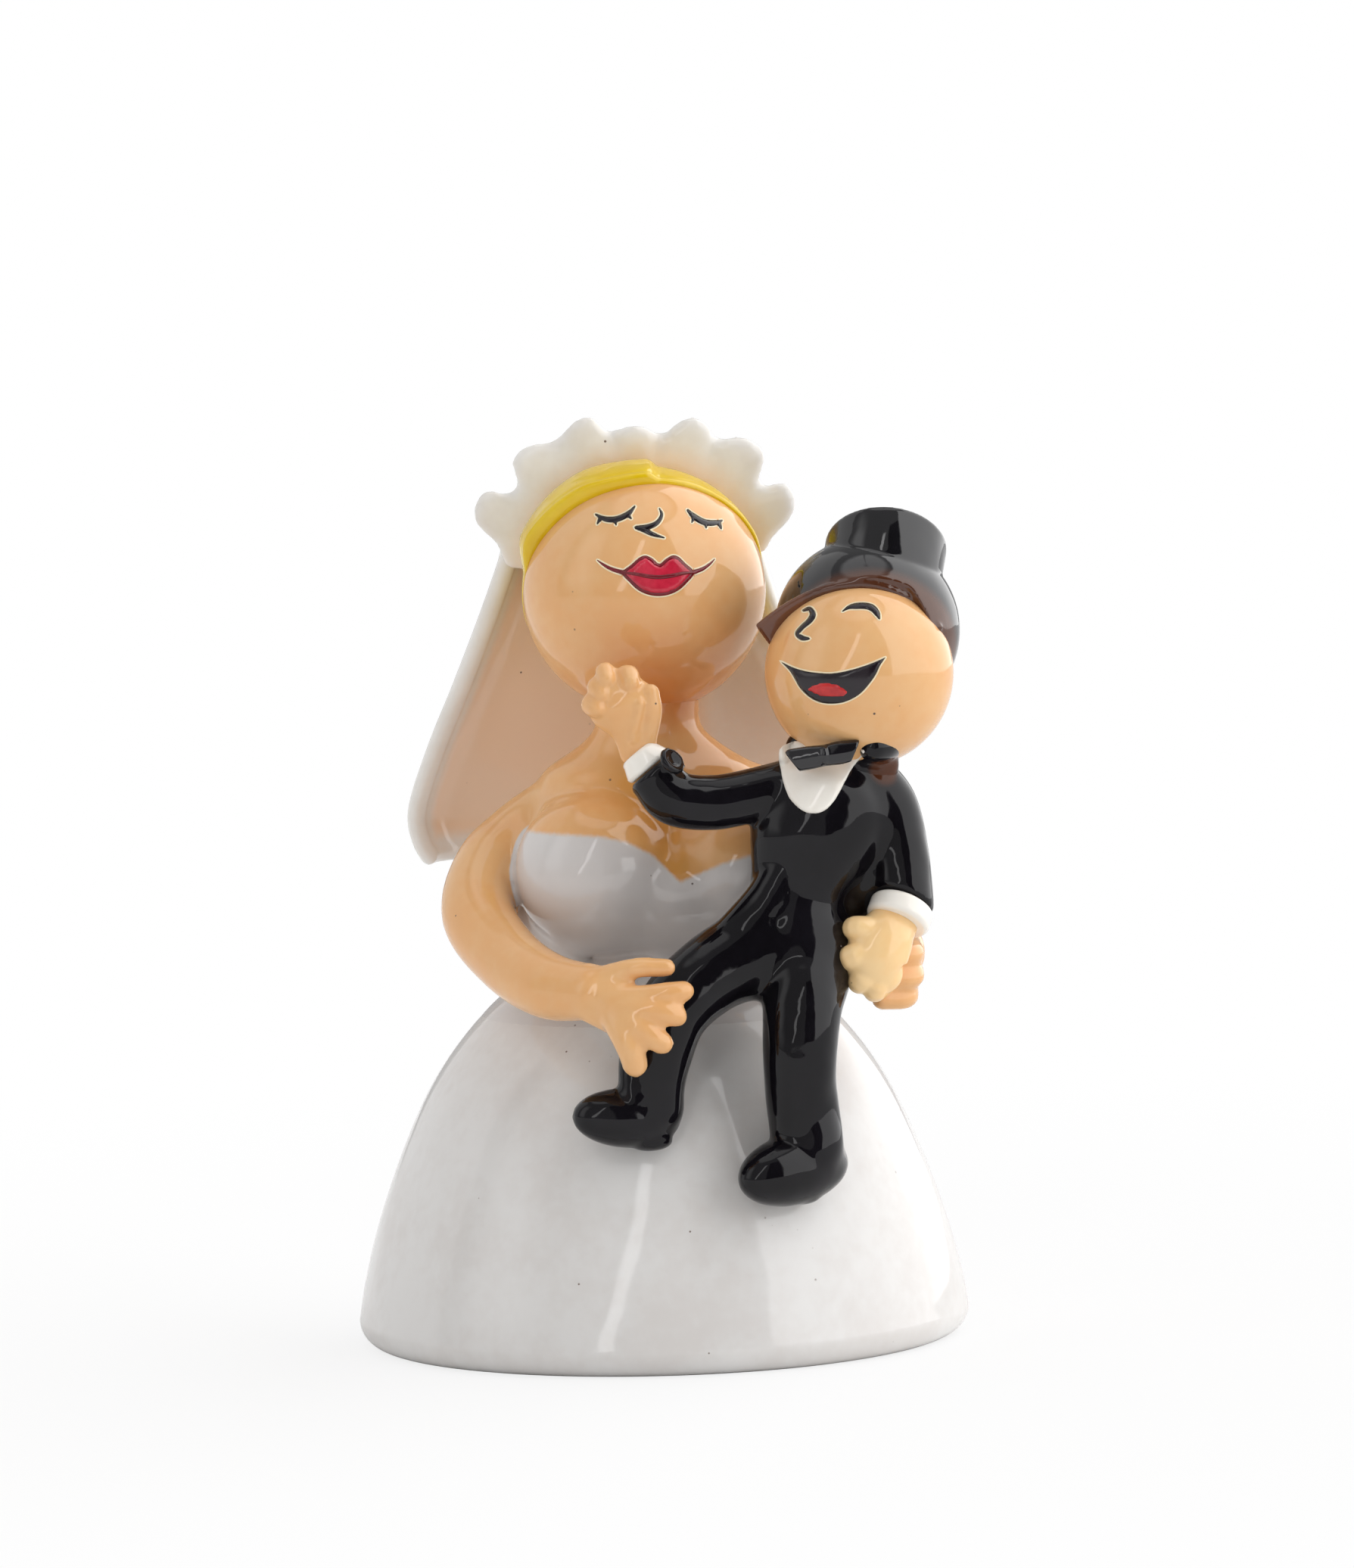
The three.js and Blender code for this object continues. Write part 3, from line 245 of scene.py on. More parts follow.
@dataclass(frozen=True)
class Limb:
    """A section swept smoothly through places, with its half-width at each and its depth along one way."""

    places: Sequence[Sequence[float]]
    radii: Sequence[float]
    steps: int = 6
    sides: int = 20
    flat: Place = BACK
    depth: float = 1.0
    caps: int = 6

    def form(self) -> Form:
        """Sweeps the limb.

        Returns:
            Its closed surface, with round ends.
        """
        path = smooth_path(self.places, self.steps)
        widths = value_at(self.radii, np.linspace(0, 1, len(path)))
        side = np.array(self.flat, float)
        stations = []
        for at, tangent, width in zip(path, units(np.gradient(path, axis=0)), widths):
            side = unit(side - side.dot(tangent) * tangent)
            deep = width * self.depth
            stations.append((at, tangent * deep, np.cross(tangent, side) * width, side * deep))
        tilts = np.arange(1, self.caps) / self.caps * math.pi / 2
        turned = [(stations[0], -t) for t in tilts[::-1]] + [(one, 0.0) for one in stations]
        turned += [(stations[-1], t) for t in tilts]
        rings = [
            oval(at + reach * math.sin(t), wide * math.cos(t), deep * math.cos(t), self.sides)
            for (at, reach, wide, deep), t in turned
        ]
        return skin(rings, stations[0][0] - stations[0][1], stations[-1][0] + stations[-1][1])


@dataclass(frozen=True)
class Ellipsoid:
    """An ellipsoid whose first half-axis lies along a way and whose second is level."""

    centre: Sequence[float]
    halves: Place
    sides: int = 40
    along: Sequence[float] = RIGHT

    def form(self) -> Form:
        """Makes its closed surface.

        Returns:
            The closed surface.
        """
        first = unit(self.along)
        second = np.cross(UP, first)
        second = unit(second) if np.linalg.norm(second) > 1e-6 else np.array(BACK)
        wide, deep, high = (way * half for way, half in zip((first, second, np.cross(first, second)), self.halves))
        middle = np.array(self.centre, float)
        rows = self.sides // 2
        angles = [-math.pi / 2 + math.pi * i / rows for i in range(1, rows)]
        rings = [
            oval(middle + high * math.sin(t), wide * math.cos(t), deep * math.cos(t), self.sides) for t in angles
        ]
        return skin(rings, middle - high, middle + high)


def ball(centre: Sequence[float], radius: float, sides: int = 40) -> Form:
    """A ball about a centre."""
    return Ellipsoid(centre, (radius, radius, radius), sides).form()


def revolve(profile: Sequence[Flat], at: Sequence[float], axis: Sequence[float], sides: int) -> Form:
    """Revolves a profile of radius and height pairs, whose ends lie on the axis, into a closed surface.

    Args:
        profile: the pairs, in order.
        at: the place on the axis where the height is 0.
        axis: the way of the axis.
        sides: how many points go round.

    Returns:
        The closed surface.
    """
    way = unit(axis)
    wide = unit(np.cross(way, BACK))
    deep = np.cross(way, wide)
    middle = np.array(at, float)
    rings = [oval(middle + way * h, wide * r, deep * r, sides) for r, h in profile if r > 1e-6]
    return skin(rings, middle + way * profile[0][1], middle + way * profile[-1][1])


def arc(middle: Flat, radius: float, start: float, end: float, steps: int = 8) -> list[Flat]:
    """Points of an arc in a profile, from one angle to another, in degrees."""
    turns = np.radians(np.linspace(start, end, steps + 1))
    return [(middle[0] + radius * math.cos(t), middle[1] + radius * math.sin(t)) for t in turns]


def ring_roll(centre: Sequence[float], axis: Sequence[float], radius: float, roll: float) -> Form:
    """A closed ring of round section about an axis.

    Args:
        centre: its middle.
        axis: the way of its axis.
        radius: from its middle to the middle of its section.
        roll: the radius of its section.

    Returns:
        The closed surface.
    """
    around, across = 40, 12
    way = unit(axis)
    wide = unit(np.cross(way, BACK))
    turns, tilts = (2 * math.pi * np.arange(n) / n for n in (around, across))
    out = np.cos(turns)[:, None] * wide + np.sin(turns)[:, None] * np.cross(way, wide)
    far, high = (radius + roll * np.cos(tilts))[None, :, None], (roll * np.sin(tilts))[None, :, None]
    return Form((np.array(centre) + out[:, None] * far + way * high).reshape(-1, 3), looped(around, across))


def sheet(
    surface: Callable[[float, float], np.ndarray], thickness: float, rows: int, columns: int
) -> tuple[Form, np.ndarray]:
    """A sheet with a full round edge all the way about.

    Args:
        surface: gives the place of its middle surface from two shares.
        thickness: how thick it is, in millimetres.
        rows: steps along the first share.
        columns: steps along the second share.

    Returns:
        The closed surface, whose first half of points is one face and whose second half is the other, and
        how far each point of a face lies from the nearest edge.
    """
    def spread(count: int) -> np.ndarray:
        """Shares that crowd towards both ends, so that the round edge is smooth.

        Args:
            count: about how many shares to give.

        Returns:
            The shares, from 0 to 1.
        """
        inner = np.linspace(0, 1, count - 7)[1:-1]
        edge = inner[0] * np.array((0.0, 0.015, 0.05, 0.12, 0.22, 0.4, 0.66))
        return np.concatenate([edge, inner, 1 - edge[::-1]])

    us, vs = spread(rows), spread(columns)
    grid = np.array([[surface(u, v) for v in vs] for u in us])
    normals = np.cross(np.gradient(grid, axis=0), np.gradient(grid, axis=1))
    normals /= np.linalg.norm(normals, axis=2)[:, :, None] + 1e-12
    gaps = []
    for axis in (0, 1):
        steps = np.linalg.norm(np.diff(grid, axis=axis, prepend=grid.take([0], axis)), axis=2)
        reach = np.cumsum(steps, axis=axis)
        gaps += [reach, reach.take([-1], axis) - reach]
    edge = np.min(gaps, axis=0)
    half = thickness / 2
    offset = normals * (half * np.maximum(round_over(edge, half), 0.02))[:, :, None]
    at = lambda i, j: i * len(vs) + j
    faces = [
        (at(i, j), at(i, j + 1), at(i + 1, j + 1), at(i + 1, j))
        for i in range(len(us) - 1) for j in range(len(vs) - 1)
    ]
    return slab((grid + offset).reshape(-1, 3), (grid - offset).reshape(-1, 3), faces), edge.reshape(-1)


def inside_gap(points: np.ndarray, outline: np.ndarray) -> np.ndarray:
    """How far points lie inside an outline; outside it the distance is negative.

    Args:
        points: places in two dimensions.
        outline: a closed outline.

    Returns:
        One distance for each point.
    """
    a, b = outline, np.roll(outline, -1, axis=0)
    way = b - a
    rel = points[:, None, :] - a[None]
    t = np.clip((rel * way).sum(2) / ((way**2).sum(1) + 1e-12), 0, 1)
    gap = np.linalg.norm(rel - t[:, :, None] * way, axis=2).min(1)
    above = (a[:, 1] > points[:, None, 1]) != (b[:, 1] > points[:, None, 1])
    cross = (b[:, 0] - a[:, 0]) * (points[:, None, 1] - a[:, 1]) / (b[:, 1] - a[:, 1] + 1e-12) + a[:, 0]
    inside = (above & (points[:, None, 0] < cross)).sum(1) % 2 == 1
    return np.where(inside, gap, -gap)


def filled(outline: np.ndarray, spacing: float, inset: float) -> tuple[np.ndarray, list[list[int]], np.ndarray]:
    """Fills a closed outline with triangles.

    Args:
        outline: the outline, in two dimensions.
        spacing: how far apart the points inside it lie.
        inset: how far those points stay from the outline.

    Returns:
        The points, the triangles, and how far each point lies from the outline.
    """
    xs, zs = (np.arange(low, high, spacing) for low, high in zip(outline.min(0), outline.max(0)))
    grid = np.array([(x, z) for x in xs for z in zs])
    grid = grid[inside_gap(grid, outline) > inset]
    count = len(outline)
    edges = [(i, (i + 1) % count) for i in range(count)]
    points = [Vector(p) for p in np.vstack([outline, grid])]
    found, _, faces, *_ = delaunay_2d_cdt(points, edges, [list(range(count))], 2, 1e-5)
    flat = np.array([p[:] for p in found])
    return flat, faces, np.abs(inside_gap(flat, outline))


def new_object(name: str, data: bpy.types.ID) -> bpy.types.Object:
    """Puts a mesh, a lamp or a camera into the scene as an object at the origin.

    Args:
        name: the object's name.
        data: the mesh, lamp or camera.

    Returns:
        The object.
    """
    item = bpy.data.objects.new(name, data)
    bpy.context.scene.collection.objects.link(item)
    return item


def cast(name: str, *forms: Form) -> bpy.types.Object:
    """Turns forms into one object, in metres, with its faces outwards.

    Args:
        name: the object's name.
        *forms: closed surfaces in millimetres.

    Returns:
        The object.
    """
    build = bmesh.new()
    for form in forms:
        form.add_to(build, MILLIMETRE)
    bmesh.ops.recalc_face_normals(build, faces=build.faces[:])
    mesh = bpy.data.meshes.new(name)
    build.to_mesh(mesh)
    build.free()
    mesh.shade_smooth()
    return new_object(name, mesh)


def settle(item: bpy.types.Object) -> None:
    """Puts the result of an object's modifiers into its mesh and takes the modifiers off.

    Args:
        item: the object.
    """
    graph = bpy.context.evaluated_depsgraph_get()
    made = bpy.data.meshes.new_from_object(item.evaluated_get(graph))
    old = item.data
    item.modifiers.clear()
    item.data = made
    made.name = item.name
    bpy.data.meshes.remove(old)
    made.shade_smooth()


def mesh_points(mesh: bpy.types.Mesh) -> np.ndarray:
    """A mesh's points as an array, in metres.

    Args:
        mesh: the mesh.

    Returns:
        One row for each point.
    """
    found = np.zeros(len(mesh.vertices) * 3)
    mesh.vertices.foreach_get("co", found)
    return found.reshape(-1, 3)


def places_of(item: bpy.types.Object) -> np.ndarray:
    """The places of a piece's points, in millimetres."""
    return mesh_points(item.data) / MILLIMETRE


def relax(mesh: bpy.types.Mesh, rounds: int, share: float | np.ndarray = 0.5) -> None:
    """Draws every point of a mesh towards the middle of its neighbours, which rounds the joins like wet clay.

    Args:
        mesh: the mesh to smooth.
        rounds: how often it is smoothed.
        share: how far a point goes each time, as one number or one for each point.
    """
    amount = share[:, None] if isinstance(share, np.ndarray) else share
    points = mesh_points(mesh)
    edges = np.zeros(len(mesh.edges) * 2, int)
    mesh.edges.foreach_get("vertices", edges)
    a, b = edges.reshape(-1, 2).T
    total = len(points)
    count = np.bincount(np.concatenate([a, b]), minlength=total)[:, None]
    for _ in range(rounds):
        sums = [np.bincount(a, line[b], total) + np.bincount(b, line[a], total) for line in points.T]
        points += amount * (np.stack(sums, axis=1) / count - points)
    mesh.vertices.foreach_set("co", points.ravel())
    mesh.update()


def near_places(points: np.ndarray, spots: Iterable[Spot]) -> np.ndarray:
    """How near points lie to any of several spots: 1 at a spot's middle and 0 beyond its radius.

    Args:
        points: places in millimetres.
        spots: the middle and the radius of each spot.

    Returns:
        One share for each point.
    """
    share = np.zeros(len(points))
    for middle, radius in spots:
        gap = np.linalg.norm(points - np.array(middle), axis=1)
        share = np.maximum(share, 1 - ramp(gap, radius * 0.6, radius))
    return share


def fused(
    name: str, forms: Iterable[Form], voxel: float, rounds: int, sponged: Sequence[Spot] = (), sponge_rounds: int = 0
) -> bpy.types.Object:
    """Runs forms together into one skin, as clay parts are luted together and sponged smooth.

    Args:
        name: the piece's name.
        forms: closed surfaces that overlap.
        voxel: the fineness of the skin, in millimetres.
        rounds: how often the skin is smoothed.
        sponged: joins that are smoothed further, each with its middle and radius in millimetres.
        sponge_rounds: how often those joins are smoothed.

    Returns:
        The finished object, with a plain mesh.
    """
    item = cast(name, *forms)
    remesh = item.modifiers.new("luting", "REMESH")
    remesh.mode, remesh.voxel_size = "VOXEL", voxel * MILLIMETRE
    settle(item)
    relax(item.data, rounds)
    if sponge_rounds:
        relax(item.data, sponge_rounds, near_places(places_of(item), sponged) * 0.5)
    return item


class Value:
    """A number or colour socket in a node tree, on which Python's operators add the nodes."""

    def __init__(self, tree: "Tree", socket: bpy.types.NodeSocket) -> None:
        """Wraps a socket of a tree."""
        self.tree = tree
        self.socket = socket

    def maths(self, operation: str, *others: "Value | float") -> "Value":
        """Adds a Math node that takes this value first."""
        return self.tree.add("ShaderNodeMath", dict(enumerate((self, *others))), operation=operation)

    def __add__(self, other: "Value | float") -> "Value":
        """This plus another."""
        return self.maths("ADD", other)

    def __mul__(self, other: "Value | float") -> "Value":
        """This times another."""
        return self.maths("MULTIPLY", other)

    def __sub__(self, other: "Value | float") -> "Value":
        """This less another."""
        return self.maths("SUBTRACT", other)

    def __rsub__(self, other: float) -> "Value":
        """A number less this."""
        return self * -1.0 + other

    def step(self, start: float, end: float) -> "Value":
        """A smooth step of this value, clamped from 0 to 1."""
        inputs = {"Value": self, "From Min": start, "From Max": end}
        return self.tree.add("ShaderNodeMapRange", inputs, interpolation_type="SMOOTHSTEP")

    def parts(self) -> list["Value"]:
        """The three parts of a vector."""
        split = self.tree.node("ShaderNodeSeparateXYZ", {0: self})
        return [Value(self.tree, socket) for socket in split.outputs]


class Tree:
    """A node tree that is built in code, for a glaze or for a shape."""

    def __init__(self, nodes: bpy.types.NodeTree) -> None:
        """Starts on an empty node tree."""
        self.nodes = nodes
        nodes.nodes.clear()

    @classmethod
    def for_shape(cls, name: str, inputs: dict[str, str], output: str) -> "Tree":
        """Starts a shape tree whose inputs have the socket types given and whose one output is a shape.

        Args:
            name: the tree's name.
            inputs: the socket type of each input, by its name.
            output: the output's name.

        Returns:
            The tree.
        """
        nodes = bpy.data.node_groups.new(name, "GeometryNodeTree")
        for one, kind in inputs.items():
            nodes.interface.new_socket(one, in_out="INPUT", socket_type=f"NodeSocket{kind}")
        nodes.interface.new_socket(output, in_out="OUTPUT", socket_type="NodeSocketGeometry")
        return cls(nodes)

    def node(self, kind: str, inputs: dict | None = None, **settings) -> bpy.types.Node:
        """Adds one node.

        Args:
            kind: the node's type.
            inputs: values or links for its sockets, by name or number.
            **settings: its properties, which are set first.

        Returns:
            The new node.
        """
        made = self.nodes.nodes.new(kind)
        for name, value in settings.items():
            setattr(made, name, value)
        for name, value in (inputs or {}).items():
            socket = made.inputs[name]
            if isinstance(value, Value):
                self.nodes.links.new(value.socket, socket)
            else:
                socket.default_value = value
        return made

    def add(self, kind: str, inputs: dict | None = None, output: str | int = 0, **settings) -> Value:
        """Adds one node and gives one of its outputs."""
        return Value(self, self.node(kind, inputs, **settings).outputs[output])

    def blend(self, amount: Value, first: "Value | Colour", second: "Value | Colour") -> Value:
        """Mixes two colours."""
        return self.add("ShaderNodeMix", {0: amount, 6: first, 7: second}, 2, data_type="RGBA")

    def noise(self, place: Value, scale: float, detail: float) -> Value:
        """Cloudy noise at a place."""
        return self.add("ShaderNodeTexNoise", {"Vector": place, "Scale": scale, "Detail": detail})

    def surface(self, shade: Value, gloss: Value, bump: Value, **settings: float) -> None:
        """Ends a material with a surface of a shade, a roughness and a bump."""
        inputs = {"Base Color": shade, "Roughness": gloss, "Normal": bump, **settings}
        self.node("ShaderNodeOutputMaterial", {"Surface": self.add("ShaderNodeBsdfPrincipled", inputs)})

    def end_shape(self, shape: Value, finish: bpy.types.Material, output: str) -> None:
        """Ends a shape tree: the shape gets its finish and becomes real."""
        glazed = self.add("GeometryNodeSetMaterial", {"Geometry": shape, "Material": finish})
        self.node("NodeGroupOutput", {output: self.add("GeometryNodeRealizeInstances", {"Geometry": glazed})})

    def run_on(self, item: bpy.types.Object, values: dict[str, float | list[float]]) -> None:
        """Shapes a piece with this tree, its inputs set to values.

        Args:
            item: the piece.
            values: the values, by the inputs' names.
        """
        modifier = item.modifiers.new(self.nodes.name, "NODES")
        modifier.node_group = self.nodes
        for entry in self.nodes.interface.items_tree:
            if entry.name in values:
                modifier[entry.identifier] = values[entry.name]
        settle(item)


def new_material(name: str) -> tuple[bpy.types.Material, Tree, Value]:
    """Starts a material, and gives its tree and the place on the object.

    Args:
        name: the material's name.

    Returns:
        The material, its tree and the place.
    """
    made = bpy.data.materials.new(name)
    made.use_nodes = True
    tree = Tree(made.node_tree)
    return made, tree, tree.add("ShaderNodeTexCoord", output="Object")


def colour(red: int, green: int, blue: int) -> Colour:
    """A linear colour from the numbers that a screen shows, 0 to 255."""
    line = lambda c: c / 12.92 if c <= 0.04045 else ((c + 0.055) / 1.055) ** 2.4
    return line(red / 255), line(green / 255), line(blue / 255), 1.0


class Mask(Enum):
    """What a sprayed colour, or a painted shade, follows on its piece."""

    GOWN = "gown"
    OCHRE = "ochre"
    FLUSH = "flush"
    LINING = "lining"
    THIN = "thin"


def weights(item: bpy.types.Object, mask: Mask, values: np.ndarray) -> None:
    """Stores one number for each point of a piece, for its glaze to read."""
    layer = item.data.attributes.new(mask.value, "FLOAT", "POINT")
    layer.data.foreach_set("value", np.asarray(values, np.float32))


@dataclass(frozen=True)
class Spray:
    """A colour sprayed over a glaze where the piece's own attribute says, with a speckled or a clean edge; some sprays
    are painted shade.
    """

    mask: Mask
    tint: Colour
    strength: float = 1.0
    speckle: float = 0.0


@dataclass(frozen=True)
class Glaze:
    """A glossy glaze: its colour, how unevenly it was sprayed, its fine pinholes and its ripple."""

    name: str
    base: Colour
    drift: Colour
    sprays: tuple[Spray, ...] = ()
    roughness: float = 0.045
    drift_scale: float = 70.0
    pinhole: Colour = (0.1, 0.06, 0.04, 1.0)
    pinhole_size: float = 0.03
    ripple: float = 0.25
    ripple_scale: float = 95.0
    ior: float = 1.52

    def material(self) -> bpy.types.Material:
        """Builds the node material of this glaze.

        Returns:
            The material.
        """
        made, tree, place = new_material(self.name)
        made.diffuse_color = self.base
        noise = lambda scale, detail: tree.noise(place, scale, detail)
        mottle = noise(self.drift_scale * 6, 2.0)
        drift = (noise(self.drift_scale, 3.0) * 0.7 + mottle * 0.3).step(0.36, 0.68)
        shade = tree.blend(drift, self.base, self.drift)
        for spray in self.sprays:
            share = tree.add("ShaderNodeAttribute", output="Fac", attribute_name=spray.mask.value)
            if spray.speckle:
                share = (share + (noise(1400.0, 2.0) - 0.5) * spray.speckle).step(0.2, 0.8)
            shade = tree.blend(share * spray.strength, shade, spray.tint)
        dots = {"Vector": place, "Scale": 230.0, "Randomness": 1.0}
        cells = tree.add("ShaderNodeTexVoronoi", dots, "Distance", feature="F1")
        speck = (1 - cells.step(self.pinhole_size, self.pinhole_size * 2)) * noise(150.0, 1.0).step(0.5, 0.6)
        shade = tree.blend(speck, shade, self.pinhole)
        height = noise(self.ripple_scale, 1.0) + noise(1500.0, 2.0) * 0.008 - speck * 0.2
        bump = tree.add("ShaderNodeBump", {"Strength": self.ripple, "Distance": 0.0006, "Height": height})
        gloss = mottle.step(0.3, 0.8) * 0.04 + speck * 0.3 + self.roughness
        tree.surface(shade, gloss, bump, IOR=self.ior)
        return made


@dataclass(frozen=True)
class Biscuit:
    """Bare fired clay, for the base that no glaze covers."""

    name: str = "bare_clay"
    base: Colour = colour(226, 219, 205)
    stain: Colour = colour(198, 186, 166)

    def material(self) -> bpy.types.Material:
        """Builds the node material of the bare clay.

        Returns:
            The material.
        """
        made, tree, place = new_material(self.name)
        grit = tree.noise(place, 2600.0, 2.0)
        shade = tree.blend(tree.noise(place, 120.0, 4.0).step(0.35, 0.7), self.base, self.stain)
        bump = tree.add("ShaderNodeBump", {"Strength": 0.4, "Distance": 0.0002, "Height": grit})
        tree.surface(shade, grit * 0.2 + 0.62, bump)
        return made


class Glazes:
    """All the finishes of the topper, built once."""

    def __init__(self) -> None:
        """Builds every material."""
        tones = (231, 174, 115), (233, 184, 129)
        grit, pale = {"pinhole": colour(112, 92, 78)}, {"pinhole": colour(150, 146, 150), "pinhole_size": 0.022}
        enamel = {"roughness": 0.14, "ripple": 0.15}
        red = {"drift_scale": 240.0, **enamel}
        # Painted shade: a yellow-brown in the valley between her breasts, and a faint tint over the middle of her
        # chest.
        ochre = Spray(Mask.OCHRE, colour(204, 140, 48), 0.8)
        # Painted shade: a deep orange on her lower face and on the front of her neck, under the chin.
        flush = Spray(Mask.FLUSH, colour(222, 122, 44), 0.52)
        gown = Spray(Mask.GOWN, colour(214, 210, 208), 1.0, 0.25)
        # A warm tint on the inside of the veil; on the headpiece, painted warm shade at its root next to the hair, over
        # a faint warm tint all over.
        lining = Spray(Mask.LINING, colour(244, 212, 182), 0.9, 0.1)
        thin = Spray(Mask.THIN, colour(108, 60, 32), 0.9)

        def glaze(name: str, base: Place, drift: Place, *sprays: Spray, **settings) -> bpy.types.Material:
            """Builds one finish from the numbers that a screen shows."""
            return Glaze(name, colour(*base), colour(*drift), sprays, **settings).material()

        self.white = glaze("white_glaze", (226, 224, 222), (219, 215, 212), **grit)
        self.lined = glaze("veil_glaze", (240, 237, 232), (233, 228, 221), lining, **grit)
        self.skin = glaze("skin_glaze", *tones, flush)
        self.body = glaze("skin_and_gown_glaze", *tones, flush, ochre, gown)
        self.linen = glaze("linen_glaze", (250, 246, 238), (244, 238, 228), **grit)
        self.hand = glaze("hand_glaze", (250, 206, 146), (250, 214, 158))
        self.hair = glaze("yellow_glaze", (226, 188, 10), (232, 200, 34))
        hat = {"roughness": 0.04, "ripple": 0.4, "ripple_scale": 150.0, "ior": 1.62, **pale}
        suit = {"roughness": 0.03, "ripple": 0.6, "ripple_scale": 160.0, "ior": 1.37, **pale}
        self.black = glaze("black_glaze", (13, 12, 15), (20, 18, 23), thin, **hat)
        self.suit = glaze("suit_glaze", (12, 10, 14), (19, 17, 22), thin, **suit)
        self.line = glaze("line_enamel", (20, 14, 20), (30, 20, 28), **enamel)
        self.lip = glaze("lip_enamel", (208, 44, 70), (186, 28, 54), **red)
        self.lip_line = glaze("lip_line_enamel", (104, 10, 26), (128, 14, 34), **enamel)
        self.tongue = glaze("tongue_enamel", (212, 48, 46), (176, 34, 38), **red)
        self.cream = glaze("cream_slip", (248, 234, 202), (242, 224, 186), **enamel)
        self.clay = Biscuit().material()


class Slot(Enum):
    """The record's material slots."""

    WHITE = "white_glaze"
    SKIN = "skin_glaze"
    YELLOW = "yellow_glaze"
    BLACK = "black_glaze"


def dress(item: bpy.types.Object, finish: bpy.types.Material, slot: Slot, *nodes: str) -> None:
    """Gives a finished piece its glaze, hangs it on the root body and hides the castings that it stands for.

    Args:
        item: the piece.
        finish: its material.
        slot: the record's slot that the finish belongs to; not used.
        *nodes: the castings that the piece replaces.
    """
    item.data.materials.clear()
    item.data.materials.append(finish)
    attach(item, "root")
    if nodes:
        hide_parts(*nodes)
    log.info("%s: %d faces", item.name, len(item.data.polygons))


@dataclass(frozen=True)
class Stroke:
    """A brush stroke on a face: the places it passes through and its width at each."""

    places: tuple[Flat, ...]
    widths: tuple[float, ...]
    steps: int = 8

    def outline(self) -> np.ndarray:
        """Draws the stroke.

        Returns:
            Its closed outline.
        """
        path = smooth_path(self.places, self.steps)
        half = value_at(self.widths, np.linspace(0, 1, len(path)))[:, None] / 2
        ways = units(np.gradient(path, axis=0))
        aside = np.stack([-ways[:, 1], ways[:, 0]], axis=1) * half
        start, end = path[0] - ways[0] * half[0], path[-1] + ways[-1] * half[-1]
        return np.vstack([start[None], path + aside, end[None], (path - aside)[::-1]])


